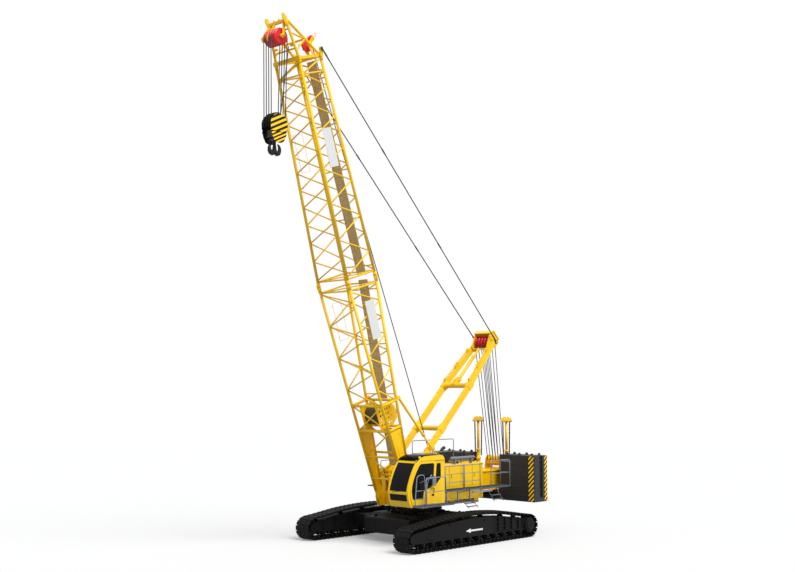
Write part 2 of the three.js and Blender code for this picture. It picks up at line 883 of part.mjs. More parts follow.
const cabSolid = plate(cabOutline, cabInner, cabOuter);
const cabHollow = plate(cabInside, cabInner + cabWall, cabOuter - cabWall);
const frontCut = (z0, z1) => box(2100, 3200, cabInner + 110, cabOuter - 110, z0, z1);
const windshieldZ = [2290, 3400];
const lowerGlassZ = [1900, 2170];
const roofCut = box(1150, 2080, cabInner + 160, cabOuter - 160, 3500, 3900);
const rearCut = box(cabRear - 50, cabRear + 100, cabInner + 180, cabOuter - 180, 2600, 3330);
const cabShell = cut(cabSolid, [
  cabHollow,
  frontCut(...windshieldZ),
  frontCut(...lowerGlassZ),
  roofCut,
  rearCut,
  plate(quarterOutline, cabInner - 50, cabOuter + 50),
  plate(doorGlassOutline, cabInner - 50, cabInner + cabWall + 20),
  plate(inset(doorOutline, 40), cabOuter - cabWall - 20, cabOuter + 50),
]);
const doorRail = box(750, 2140, cabOuter - 1, cabOuter + 40, 3500, 3530);
add("cab_shell", join([cabShell, doorRail]), craneYellow);

// Panes lie in the middle of the wall, in openings cut a hair larger than they are.
const paneOuter = inset(cabOutline, (cabWall - glass) / 2);
const paneInner = inset(cabOutline, (cabWall + glass) / 2);
const skin = plate(paneOuter, cabInner, cabOuter).subtract(plate(paneInner, cabInner - 10, cabOuter + 10));
const pane = (x0, x1, z0, z1) =>
  skin.intersect(box(x0, x1, cabInner + 110 + seat, cabOuter - 110 - seat, z0 + seat, z1 - seat));
add("cab_windshield", pane(2200, 3200, ...windshieldZ), tintedGlass);
add("cab_lower_window", pane(2200, 3200, ...lowerGlassZ), tintedGlass);
add(
  "cab_roof_window",
  skin.intersect(box(1150 + seat, 2080 - seat, cabInner + 160 + seat, cabOuter - 160 - seat, 3500, 3900)),
  tintedGlass,
);
add(
  "cab_rear_window",
  skin.intersect(
    box(
      cabRear - 50,
      cabRear + 100,
      cabInner + 180 + seat,
      cabOuter - 180 - seat,
      2600 + seat,
      3330 - seat,
    ),
  ),
  tintedGlass,
);
const sidePane = (outline, y) => plate(inset(outline, seat), y - glass / 2, y + glass / 2);
add("cab_right_window", sidePane(doorGlassOutline, cabInner + cabWall / 2), tintedGlass);
add("cab_right_quarter_window", sidePane(quarterOutline, cabInner + cabWall / 2), tintedGlass);
add("cab_left_quarter_window", sidePane(quarterOutline, cabOuter - cabWall / 2), tintedGlass);

// The door hangs outside the side wall from the rail over it and slides rearwards.
const doorInner = cabOuter + 6;
const doorSkin = 32;
const hanger = (x) => box(x, x + 150, doorInner, doorInner + doorSkin - 6, 3465, 3500 - seat);
const door = join([
  cut(
    plate(doorOutline, doorInner, doorInner + doorSkin),
    [plate(doorGlassOutline, doorInner - 20, cabOuter + 80)],
  ),
  hanger(1400),
  hanger(1950),
]);
add("cab_door", door, craneYellow);
add("cab_door_window", sidePane(doorGlassOutline, doorInner + doorSkin / 2), tintedGlass);

const cabMiddle = (cabInner + cabOuter) / 2;
const floorTop = cabFloor + cabWall + seat;
add(
  "operator_seat",
  join([
    box(1300, 1720, cabMiddle - 170, cabMiddle + 170, floorTop, floorTop + 260),
    plate(
      [
        [1210, floorTop + 250],
        [1780, floorTop + 250],
        [1790, floorTop + 400],
        [1330, floorTop + 380],
        [1240, floorTop + 1150],
        [1110, floorTop + 1140],
      ],
      cabMiddle - 250,
      cabMiddle + 250,
    ),
  ]),
  seatFabric,
);
add(
  "control_console",
  join([
    plate(
      [
        [2150, floorTop],
        [2560, floorTop],
        [2560, floorTop + 500],
        [2420, floorTop + 620],
        [2300, floorTop + 560],
        [2300, floorTop + 120],
        [2150, floorTop + 60],
      ],
      cabMiddle - 330,
      cabMiddle + 330,
    ),
  ]),
  blackPaint,
);

// ---------------------------------------------------------------- boom
const boomCos = Math.cos(radians(boomAngle));
const boomSin = Math.sin(radians(boomAngle));
// "s" runs along the boom from its foot pin and "d" across it, towards the front.
const onBoom = (s, d) => [boomFootX + s * boomCos + d * boomSin, boomFootZ + s * boomSin - d * boomCos];
const boomPoint = (s, d, y) => {
  const [x, z] = onBoom(s, d);
  return [x, y, z];
};
const boomBar = (a, b, radius, sides = 8, turn = 0) =>
  bar(boomPoint(...a), boomPoint(...b), radius, sides, radius, turn);
// Crossing bars differ a hair in turn and size, so no two of their edges coincide.
let braces = 0;
function brace(a, b, radius) {
  braces += 1;
  return boomBar(a, b, radius + (braces % 5) * 0.4, tubeSides, 5 + (braces % 7) * 11);
}
const blend = (a, b, t) => a + (b - a) * t;
const halfDepth = (s) =>
  s < boomJoint
    ? blend(boomFootHalfDepth, boomJointHalfDepth, s / boomJoint)
    : blend(boomJointHalfDepth, boomHeadHalfDepth, (s - boomJoint) / (boomHeadAt - boomJoint));
const halfWidth = (s) =>
  s < boomJoint ? boomHalfWidth : blend(
    boomHalfWidth,
    boomHeadHalfWidth,
    (s - boomJoint) / (boomHeadAt - boomJoint),
  );
const corner = (s, front, left) => [s, front * halfDepth(s), left * halfWidth(s)];

// One zigzag of lacing between two chords; each chord is given by its front and left signs.
function lacing(stations, first, second) {
  return stations.slice(1).map((s, i) => {
    const a = corner(stations[i], ...(i % 2 ? second : first));
    const b = corner(s, ...(i % 2 ? first : second));
    return brace(a, b, lacingRadius);
  });
}

const frontLeft = [1, 1];
const frontRight = [1, -1];
const rearLeft = [-1, 1];
const rearRight = [-1, -1];
const corners = [frontLeft, frontRight, rearRight, rearLeft];

// The right face of the top section starts from the rear chord, so that its joints lie between the front face's.
function faces(stations, rightFirst, rightSecond) {
  return [
    ...lacing(stations, frontLeft, rearLeft),
    ...lacing(stations, rightFirst, rightSecond),
    ...lacing(stations, frontRight, frontLeft),
    ...lacing(stations, rearLeft, rearRight),
  ];
}

const ring = (s, radius = 44) => corners.map(
  (c, i) => brace(corner(s, ...c), corner(s, ...corners[(i + 1) % 4]), radius),
);
const crossBrace = (s) => [
  brace(corner(s, ...frontLeft), corner(s, ...rearRight), lacingRadius),
];

const chord = (s0, s1, c) => boomBar(corner(s0, ...c), corner(s1, ...c), chordRadius, chordSides);
const collar = (s0, s1, c) => boomBar(corner(s0, ...c), corner(s1, ...c), chordRadius + 22, chordSides);
const steps = (from, to, count, growth) => {
  const list = [];
  for (let i = 0; i <= count; i++) {
    const t = i / count;
    list.push(blend(from, to, t * (1 - growth) + t * t * growth));
  }
  return list;
};

// Everything between two cross-sections of the boom.
const boomLength = (s0, s1) =>
  plate([onBoom(s0, 1500), onBoom(s1, 1500), onBoom(s1, -1500), onBoom(s0, -1500)], -1500, 1500);

// Flat cross bars inside the rear face, which carry the walkway along the boom.
const bearerTop = lacingRadius + 4;
const bearerHalf = 25;
const bearer = (s) =>
  plate(
    [
      onBoom(s - bearerHalf, -halfDepth(s - bearerHalf) - 10),
      onBoom(s - bearerHalf, -halfDepth(s - bearerHalf) + bearerTop),
      onBoom(s + bearerHalf, -halfDepth(s + bearerHalf) + bearerTop),
      onBoom(s + bearerHalf, -halfDepth(s + bearerHalf) - 10),
    ].reverse(),
    -halfWidth(s),
    halfWidth(s),
  );

const footCut = 330; // distance from the foot pin to the first plate between the foot lugs
const jointGap = seat / 2;
const baseParts = corners.map((c) => chord(footCut, boomJoint - jointGap, c));
baseParts.push(...corners.map((c) => collar(boomJoint - 190, boomJoint - jointGap, c)));
baseParts.push(...faces(steps(boomJoint - 300, baseFrameHigh, 7, 0), frontRight, rearRight));
baseParts.push(bearer(baseFrameHigh + 260), bearer(boomJoint - 520));
baseParts.push(...ring(boomJoint - 240), ...crossBrace(boomJoint - 240));
baseParts.push(...ring(baseFrameHigh, 60), ...ring(baseFrameLow, 60));
for (const side of [-1, 1]) {
  const y = side * boomHalfWidth;
  // Plated cheek of the boom's foot, with the eye that turns on the foot pin.
  const web = plate(
    [
      onBoom(footCut - 60, halfDepth(footCut) + 40),
      onBoom(baseFrameLow, halfDepth(baseFrameLow)),
      onBoom(baseFrameLow, -halfDepth(baseFrameLow)),
      onBoom(footCut - 60, -halfDepth(footCut) - 40),
    ],
    y - 12,
    y + 12,
  );
  baseParts.push(web);
  const eyeLug = cut(
    lug(
      onBoom(footCut + 60, -halfDepth(footCut) - 40),
      onBoom(footCut + 60, halfDepth(footCut) + 40),
      boomEye,
      165,
      y - boomLug / 2,
      y + boomLug / 2,
    ),
    [bore(boomFootX, boomFootZ, y - boomLug, y + boomLug, boomPin)],
  );
  baseParts.push(eyeLug);
}
for (const s of [900, 1900]) {
  baseParts.push(brace(corner(s, ...frontLeft), corner(s, ...frontRight), 50));
  baseParts.push(brace(corner(s, ...rearLeft), corner(s, ...rearRight), 50));
}
baseParts.push(brace(corner(900, ...frontLeft), corner(1900, ...frontRight), lacingRadius));
baseParts.push(brace(corner(1900, ...frontRight), corner(baseFrameLow, ...frontLeft), lacingRadius));
// Side arms that carry the auxiliary winch.
const auxDrum = { s: 3600, d: -430, halfLength: 430, barrel: 210, flange: 370 };
const auxCentre = onBoom(auxDrum.s, auxDrum.d);
for (const side of [-1, 1]) {
  const inner = auxDrum.halfLength + 12;
  const y0 = side > 0 ? inner : -inner - 30;
  baseParts.push(
    cut(
      plate(
        [
          onBoom(auxDrum.s - 470, halfDepth(3100)),
          onBoom(auxDrum.s + 560, halfDepth(4100)),
          onBoom(auxDrum.s + 560, -halfDepth(4100)),
          onBoom(auxDrum.s + 150, auxDrum.d - 180),
          onBoom(auxDrum.s - 150, auxDrum.d - 180),
          onBoom(auxDrum.s - 470, -halfDepth(3100)),
        ],
        y0,
        y0 + 30,
      ),
      [bore(auxCentre[0], auxCentre[1], y0 - 10, y0 + 40, drumAxle)],
    ),
  );
}
add("boom_base_section", join(baseParts).intersect(boomLength(-500, boomJoint - jointGap)), craneYellow);
add(
  "auxiliary_winch_drum",
  makeDrum(auxCentre[0], auxCentre[1], auxDrum.halfLength, auxDrum.barrel, auxDrum.flange, 30),
  craneYellow,
);

const headSeat = boomHeadAt - 80;
const topParts = corners.map((c) => chord(boomJoint + jointGap, headSeat, c));
topParts.push(...corners.map((c) => collar(boomJoint + jointGap, boomJoint + 190, c)));
topParts.push(bearer(boomJoint + 480), bearer(14000), bearer(boomHeadAt - 900));
topParts.push(...faces(steps(boomHeadAt - 650, boomJoint + 300, 12, 0.16), rearRight, frontRight));
topParts.push(...ring(boomJoint + 240), ...crossBrace(boomJoint + 240), ...ring(boomHeadAt - 650));
add("boom_top_section", join(topParts).intersect(boomLength(boomJoint + jointGap, headSeat)), craneYellow);

// Perforated walkway on the inner side of the boom's rear face.
const meshMiddle = 170; // the walkway lies left of the boom's middle
const meshHalf = 250;
const meshSheet = 30;
const walkLift = seat;
function boomWalk(s0, s1) {
  const lift0 = -halfDepth(s0) + bearerTop + walkLift;
  const lift1 = -halfDepth(s1) + bearerTop + walkLift;
  return plate(
    [onBoom(s0, lift0), onBoom(s0, lift0 + meshSheet), onBoom(s1, lift1 + meshSheet), onBoom(s1, lift1)],
    meshMiddle - meshHalf,
    meshMiddle + meshHalf,
  );
}
add("boom_base_walkway", boomWalk(baseFrameHigh + 80, boomJoint - 330), meshTan);
add("boom_top_walkway", boomWalk(boomJoint + 330, boomHeadAt - 720), meshTan);

// Boom head: two side plates on cross beams, with the shaft of the head sheaves.
const headPlateY = 500;
const headShaft = 60;
const headPlate = 40;
const headOutline = [
  [headSeat + seat, 640],
  [headSheaveAt - 380, headSheaveOut + 190],
  [headSheaveAt + 60, headSheaveOut + 180],
  [20330, 850],
  [20520, 800],
  [20560, 660],
  [20420, 560],
  [19700, 330],
  [19500, -560],
  [19150, -760],
  [headSeat + seat, -640],
];
const headWindow = [
  [headSeat + 260, 420],
  [headSheaveAt - 330, 640],
  [headSheaveAt - 200, 380],
  [19350, -250],
  [headSeat + 260, -380],
];
const sheaveCentre = onBoom(headSheaveAt, headSheaveOut);
const guide = { s: 19290, d: -480, radius: 200 };
const guideCentre = onBoom(guide.s, guide.d);
const headParts = [];
for (const side of [-1, 1]) {
  const y = side > 0 ? headPlateY : -headPlateY - headPlate;
  headParts.push(
    cut(plate(headOutline.map(([s, d]) => onBoom(s, d)), y, y + headPlate), [
      plate(headWindow.map(([s, d]) => onBoom(s, d)), y - 10, y + headPlate + 10),
    ]),
  );
}
const crossBeam = (s0, s1, d0, d1, y) =>
  plate([onBoom(s0, d0), onBoom(s0, d1), onBoom(s1, d1), onBoom(s1, d0)].reverse(), -y, y);
const headBeam = (middle, reach) => crossBeam(
  headSeat + seat,
  headSeat + 170,
  middle - 80,
  middle + 80,
  reach,
);
const pendantLug = { inner: pendantBoomY - 45, outer: pendantBoomY + 15, radius: 80 };
headParts.push(headBeam(boomHeadHalfDepth, boomHeadHalfWidth + 90));
headParts.push(headBeam(-boomHeadHalfDepth, pendantLug.outer));
headParts.push(boomBar([20440, 720, -headPlateY - 60], [20440, 720, headPlateY + 60], 70, 10));
headParts.push(disc(guideCentre[0], guideCentre[1], -headPlateY - 20, headPlateY + 20, 50, 12));
headParts.push(disc(guideCentre[0], guideCentre[1], -60, -20, guide.radius, 20));
headParts.push(disc(guideCentre[0], guideCentre[1], 60, 100, guide.radius, 20));
headParts.push(
  disc(sheaveCentre[0], sheaveCentre[1], -headPlateY - 20, headPlateY + 20, headShaft, pinSides),
);
for (const side of [-1, 1]) {
  const inner = side > 0 ? pendantLug.inner : -pendantLug.outer;
  headParts.push(
    lug(
      onBoom(headSeat + 60, -boomHeadHalfDepth - 60),
      onBoom(headSeat + 60, -boomHeadHalfDepth + 60),
      onBoom(pendantAt, pendantOut),
      pendantLug.radius,
      inner,
      inner + pendantLug.outer - pendantLug.inner,
    ),
  );
}
add("boom_head", join(headParts), craneYellow);

const sheaveY = (i, count) => (i - (count - 1) / 2) * headSheavePitch;
add(
  "head_sheaves",
  sheaveCluster(sheaveCentre, headSheaveCount, headSheavePitch, headSheaveRadius, headShaft),
  sheaveRed,
);

// Backstops: telescopic struts pinned to the boom's rear chords, their buffers clear of the deck.
const backstopY = boomHalfWidth + 20;
const chordSleeve = (c) =>
  boomBar(corner(baseFrameLow, ...c), corner(boomJoint, ...c), chordRadius + pinGap, chordSides);
function makeBackstop() {
  const top = onBoom(baseFrameHigh + 60, -halfDepth(baseFrameHigh) - chordRadius - 60);
  const low = [-330, 3440];
  const t = 0.62;
  const middle = [blend(top[0], low[0], t), blend(top[1], low[1], t)];
  return cut(
    join([
      bar([top[0], backstopY, top[1]], [middle[0], backstopY, middle[1]], 55, 8),
      bar([middle[0] + 20, backstopY, middle[1] + 20], [low[0], backstopY, low[1]], 40, 8),
      disc(top[0], top[1], backstopY - 50, backstopY + 50, 75, 12),
    ]),
    [chordSleeve(rearLeft), mirrorY(chordSleeve(rearRight))],
  );
}

// ---------------------------------------------------------------- hook block and its falls
const [fallsX, fallsTop] = sheaveCentre;
const blockCentre = 16900;
const fallOffset = headSheaveRadius + ropeRadius + pinGap;
const frontFalls = [];
const rearFalls = [];
for (let i = 0; i < blockSheaveCount; i++) {
  const y = sheaveY(i, blockSheaveCount);
  const front = fallsX + fallOffset;
  const rear = fallsX - fallOffset;
  frontFalls.push(
    bar([front, sheaveY(i, headSheaveCount), fallsTop], [front, y, blockCentre], ropeRadius, tubeSides),
  );
  rearFalls.push(
    bar([rear, sheaveY(i + 1, headSheaveCount), fallsTop], [rear, y, blockCentre], ropeRadius, tubeSides),
  );
}
// A thin tie at the block keeps each row of falls one piece.
const tieReach = sheaveY(blockSheaveCount - 1, blockSheaveCount);
const fallTie = (x) => bar(
  [x, -tieReach, blockCentre],
  [x, tieReach, blockCentre],
  ropeRadius - 2,
  tubeSides,
);
add("front_hoist_falls", join([...frontFalls, fallTie(fallsX + fallOffset)]), ropeSteel);
add("rear_hoist_falls", join([...rearFalls, fallTie(fallsX - fallOffset)]), ropeSteel);

const blockHalf = 290;
const hookShaft = 60;
const cheekPlate = 30;
const blockParts = [];
const cheekOutline = [];
for (let i = 0; i < 20; i++) {
  const a = (2 * Math.PI * i) / 20;
  cheekOutline.push(
    [fallsX + 440 * Math.cos(a), blockCentre - 190 + (a < Math.PI ? 590 : 640) * Math.sin(a)],
  );
}
for (const side of [-1, 1]) {
  const y = side > 0 ? blockHalf - cheekPlate : -blockHalf;
  blockParts.push(plate(cheekOutline, y, y + cheekPlate));
}
blockParts.push(disc(fallsX, blockCentre, -blockHalf + 5, blockHalf - 5, hookShaft, pinSides));
const hookShank = 60;
const trunnionZ = blockCentre - 640;
blockParts.push(
  box(fallsX - 170, fallsX + 170, -blockHalf + 5, blockHalf - 5, trunnionZ - 90, trunnionZ + 90),
);
add(
  "hook_block",
  cut(join(blockParts), [bar(
      [fallsX, 0, trunnionZ - 200],
      [fallsX, 0, trunnionZ + 200],
      boreRadius(hookShank),
      pinSides,
      boreRadius(hookShank),
      180 / pinSides,
    )]),
  blackPaint,
);
add(
  "hook_block_sheaves",
  sheaveCluster([fallsX, blockCentre], blockSheaveCount, headSheavePitch, headSheaveRadius, hookShaft),
  blackPaint,
);

// Double hook on a shank that swivels in the block's trunnion.
const hookZ = trunnionZ - 90 - 330;
const hookShape = [];
for (const side of [1, -1]) {
  const arc = (radius, from, to, count) => {
    for (let i = 0; i <= count; i++) {
      const a = radians(from + ((to - from) * i) / count);
      hookShape.push([fallsX + side * (130 + radius * Math.cos(a)), hookZ + radius * Math.sin(a)]);
    }
  };
  if (side > 0) {
    hookShape.push([fallsX, hookZ - 210]);
    arc(190, -95, 25, 7);
    arc(75, 10, -190, 7);
  }
}
const hookRight = plate(
  [...hookShape, [fallsX + 45, hookZ + 330 - 20], [fallsX, hookZ + 330 - 20]],
  -60,
  60,
);
const hook = join([
  hookRight,
  hookRight.translate([-fallsX, 0, 0]).mirror([1, 0, 0]).translate([fallsX, 0, 0]),
  bar([fallsX, 0, hookZ + 100], [fallsX, 0, trunnionZ + 90 + seat], hookShank, pinSides),
  bar([fallsX, 0, trunnionZ + 90 + seat], [fallsX, 0, trunnionZ + 190], 105, 16),
]);
add("hook", hook, blackPaint);

// ---------------------------------------------------------------- mast
const mastCos = Math.cos(radians(mastAngle));
const mastSin = Math.sin(radians(mastAngle));
const onMast = (t, n) => [mastFootX + t * mastCos - n * mastSin, mastFootZ + t * mastSin + n * mastCos];
const mastPoint = (t, n, y) => {
  const [x, z] = onMast(t, n);
  return [x, y, z];
};

// A rectangular beam between two points, its width kept close to Y.
function beam(a, b, depth, width) {
  const from = new THREE.Vector3(...a);
  const to = new THREE.Vector3(...b);
  const along = to.clone().sub(from);
  const length = along.length();
  along.normalize();
  const across = new THREE.Vector3(0, 1, 0);
  const normal = new THREE.Vector3().crossVectors(along, across).normalize();
  across.crossVectors(normal, along).normalize();
  const g = new THREE.BoxGeometry(length, width, depth);
  g.applyMatrix4(new THREE.Matrix4().makeBasis(along, across, normal));
  const middle = from.add(to).multiplyScalar(0.5);
  g.translate(middle.x, middle.y, middle.z);
  return solid(g);
}

const mastParts = [];
for (const side of [-1, 1]) {
  const y = side * mastArmY;
  mastParts.push(
    beam(mastPoint(170, 0, y), mastPoint(mastBeamHigh + 100, 0, y), mastArmDepth, mastArmWidth),
  );
  mastParts.push(
    beam(
      mastPoint(mastBeamHigh, 0, y),
      mastPoint(mastLength + 60, 0, side * mastHeadY),
      mastArmDepth - 20,
      mastArmWidth - 20,
    ),
  );
  mastParts.push(
    cut(
      lug(
        onMast(260, 5 - mastArmDepth / 2),
        onMast(260, mastArmDepth / 2 - 5),
        mastEye,
        135,
        y - mastArmWidth / 2 + 1,
        y + mastArmWidth / 2 - 1,
      ),
      [bore(mastFootX, mastFootZ, y - mastArmWidth, y + mastArmWidth, mastPin)],
    ),
  );
}
mastParts.push(bar(mastPoint(mastBeamLow, 0, -mastArmY), mastPoint(mastBeamLow, 0, mastArmY), 105, 8));
mastParts.push(bar(mastPoint(mastBeamHigh, 0, -mastArmY), mastPoint(mastBeamHigh, 0, mastArmY), 115, 8));
const mastHead = onMast(mastLength, 0);
const mastSheave = { t: mastLength - 90, n: -10, radius: 290, shaft: 55, count: 5, pitch: 150 };
const mastSheaveCentre = onMast(mastSheave.t, mastSheave.n);
const mastCheekY = 430;
for (const side of [-1, 1]) {
  const y = side > 0 ? mastCheekY : -mastCheekY - 30;
  mastParts.push(
    plate(
      [
        onMast(mastLength - 560, -170),
        onMast(mastLength - 560, 150),
        onMast(mastLength + 100, 330),
        onMast(mastLength + 330, 200),
        onMast(mastLength + 330, -330),
        onMast(mastLength + 60, -430),
      ].reverse(),
      y,
      y + 30,
    ),
  );
}
mastParts.push(
  disc(
    mastSheaveCentre[0],
    mastSheaveCentre[1],
    -mastCheekY - 10,
    mastCheekY + 10,
    mastSheave.shaft,
    pinSides,
  ),
);
mastParts.push(
  plate(
    [
      onMast(mastLength + 310, 190),
      onMast(mastLength + 345, 190),
      onMast(mastLength + 345, -330),
      onMast(mastLength + 310, -330),
    ],
    -mastCheekY - 30,
    mastCheekY + 30,
  ),
);
const pendantPin = onMast(mastLength, 60);
for (const side of [-1, 1]) {
  mastParts.push(
    disc(
      pendantPin[0],
      pendantPin[1],
      side > 0 ? mastHeadY : -pendantMastY - 40,
      side > 0 ? pendantMastY + 40 : -mastHeadY,
      45,
      16,
    ),
  );
}
mastParts.push(bar(mastPoint(mastBeamHigh + 350, 60, 0), mastPoint(mastLength - 450, 60, 0), 75, 12));
mastParts.push(bar(mastPoint(mastBeamHigh, 0, 0), mastPoint(mastBeamHigh + 380, 60, 0), 45, 8));
mastParts.push(
  bar(
    mastPoint(mastLength - 500, 60, -mastCheekY - 10),
    mastPoint(mastLength - 500, 60, mastCheekY + 10),
    70,
    8,
  ),
);
add("mast", join(mastParts), craneYellow);
add(
  "mast_head_sheaves",
  sheaveCluster(
    mastSheaveCentre,
    mastSheave.count,
    mastSheave.pitch,
    mastSheave.radius,
    mastSheave.shaft,
    50,
  ),
  sheaveRed,
);

// ---------------------------------------------------------------- boom pendants
function makePendant() {
  const top = onBoom(pendantAt, pendantOut);
  const low = pendantPin;
  const a = new THREE.Vector3(low[0], pendantMastY, low[1]);
  const b = new THREE.Vector3(top[0], pendantBoomY + 60, top[1]);
  const eye = cut(disc(low[0], low[1], pendantMastY - 20, pendantMastY + 20, 85, 16), [
    disc(low[0], low[1], pendantMastY - 60, pendantMastY + 60, 45 + 1, 16),
  ]);
  const along = b.clone().sub(a).normalize();
  const start = a.clone().addScaledVector(along, 70);
  const end = b.clone();
  return join([
    eye,
    bar(start.toArray(), end.toArray(), pendantRadius, 8),
    disc(top[0], top[1], pendantBoomY + 40, pendantBoomY + 80, 60, 12),
  ]);
}
const pendant = makePendant();
add("left_pendant", pendant, ropeSteel);
add("right_pendant", mirrorY(pendant), ropeSteel);

const backstop = makeBackstop();
add("left_backstop", backstop, craneYellow);
add("right_backstop", mirrorY(backstop), craneYellow);

export default crane;
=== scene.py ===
import math

import bmesh
import bpy
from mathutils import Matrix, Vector
from mathutils.geometry import tessellate_polygon


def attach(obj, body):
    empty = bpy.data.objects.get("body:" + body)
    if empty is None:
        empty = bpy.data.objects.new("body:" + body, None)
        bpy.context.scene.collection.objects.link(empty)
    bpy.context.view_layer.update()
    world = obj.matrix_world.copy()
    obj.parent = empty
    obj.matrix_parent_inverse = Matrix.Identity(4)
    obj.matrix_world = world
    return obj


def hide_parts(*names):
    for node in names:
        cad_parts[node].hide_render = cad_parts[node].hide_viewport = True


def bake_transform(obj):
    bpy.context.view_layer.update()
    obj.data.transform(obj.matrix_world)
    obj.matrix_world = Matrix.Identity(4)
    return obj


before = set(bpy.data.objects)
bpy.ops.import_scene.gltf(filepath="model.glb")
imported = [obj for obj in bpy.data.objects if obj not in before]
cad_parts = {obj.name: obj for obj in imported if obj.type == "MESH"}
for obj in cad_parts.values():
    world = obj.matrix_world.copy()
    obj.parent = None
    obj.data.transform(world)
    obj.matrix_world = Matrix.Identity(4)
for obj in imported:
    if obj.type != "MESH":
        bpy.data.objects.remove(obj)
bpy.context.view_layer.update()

# ---------------------------------------------------------------- camera, floor and light
# The crane stands on a plain white floor in even studio light.
# One wide soft lamp overhead gives the paint its form, and the floor keeps a faint shadow.
scene = bpy.context.scene
scene.view_settings.view_transform = "Standard"

camera = bpy.data.objects.new("camera", bpy.data.cameras.new("camera"))
scene.collection.objects.link(camera)
camera.data.sensor_width = 36
camera.data.lens = 51.04
camera.data.clip_end = 600
camera.location = (36.2, 33.94, 6.528)
yaw, pitch = math.radians(224.19), math.radians(5.105)
look = Vector((math.cos(pitch) * math.cos(yaw), math.cos(pitch) * math.sin(yaw), math.sin(pitch)))
camera.rotation_euler = look.to_track_quat("-Z", "Y").to_euler()
scene.camera = camera

world = bpy.data.worlds.new("studio")
scene.world = world
world.use_nodes = True
sky = world.node_tree
sky.nodes.clear()
sky_out = sky.nodes.new("ShaderNodeOutputWorld")
sky_mix = sky.nodes.new("ShaderNodeMixShader")
sky_soft = sky.nodes.new("ShaderNodeBackground")
sky_soft.inputs["Color"].default_value = (0.97, 0.985, 1, 1)
sky_soft.inputs["Strength"].default_value = 0.55
sky_white = sky.nodes.new("ShaderNodeBackground")
sky_white.inputs["Color"].default_value = (1, 1, 1, 1)


def seen_ray(tree):
    """1 for a ray that is seen directly, in a gloss or through glass, and 0 for one that lights."""
    path = tree.nodes.new("ShaderNodeLightPath")
    direct = tree.nodes.new("ShaderNodeMath")
    direct.operation = "MAXIMUM"
    seen = tree.nodes.new("ShaderNodeMath")
    seen.operation = "MAXIMUM"
    tree.links.new(path.outputs["Is Camera Ray"], direct.inputs[0])
    tree.links.new(path.outputs["Is Glossy Ray"], direct.inputs[1])
    tree.links.new(direct.outputs[0], seen.inputs[0])
    tree.links.new(path.outputs["Is Transmission Ray"], seen.inputs[1])
    return seen.outputs[0]


sky.links.new(seen_ray(sky), sky_mix.inputs[0])
sky.links.new(sky_soft.outputs[0], sky_mix.inputs[1])
sky.links.new(sky_white.outputs[0], sky_mix.inputs[2])
sky.links.new(sky_mix.outputs[0], sky_out.inputs["Surface"])

sun = bpy.data.objects.new("key_light", bpy.data.lights.new("key_light", "SUN"))
scene.collection.objects.link(sun)
sun.data.energy = 3.0
sun.data.angle = math.radians(40)
sun_from = Vector((0.1, 0.75, 1.0))
sun.rotation_euler = (-sun_from).to_track_quat("-Z", "Y").to_euler()

floor_mesh = bpy.data.meshes.new("studio_floor")
floor_mesh.from_pydata([(-90, -90, 0), (60, -90, 0), (60, 60, 0), (-90, 60, 0)], [], [(0, 1, 2, 3)])
studio_floor = bpy.data.objects.new("studio_floor", floor_mesh)
scene.collection.objects.link(studio_floor)
floor_finish = bpy.data.materials.new("floor_white")
floor_finish.use_nodes = True
floor_tree = floor_finish.node_tree
floor_tree.nodes.clear()
floor_out = floor_tree.nodes.new("ShaderNodeOutputMaterial")
floor_mix = floor_tree.nodes.new("ShaderNodeMixShader")
floor_bounce = floor_tree.nodes.new("ShaderNodeBsdfDiffuse")
floor_bounce.inputs["Color"].default_value = (0.34, 0.34, 0.34, 1)
floor_seen = floor_tree.nodes.new("ShaderNodeBsdfDiffuse")
floor_seen.inputs["Color"].default_value = (0.6, 0.6, 0.6, 1)
floor_glow = floor_tree.nodes.new("ShaderNodeEmission")
floor_glow.inputs["Strength"].default_value = 0.22
floor_sum = floor_tree.nodes.new("ShaderNodeAddShader")
floor_tree.links.new(floor_seen.outputs[0], floor_sum.inputs[0])
floor_tree.links.new(floor_glow.outputs[0], floor_sum.inputs[1])
floor_tree.links.new(seen_ray(floor_tree), floor_mix.inputs[0])
floor_tree.links.new(floor_bounce.outputs[0], floor_mix.inputs[1])
floor_tree.links.new(floor_sum.outputs[0], floor_mix.inputs[2])
floor_tree.links.new(floor_mix.outputs[0], floor_out.inputs["Surface"])
floor_mesh.materials.append(floor_finish)


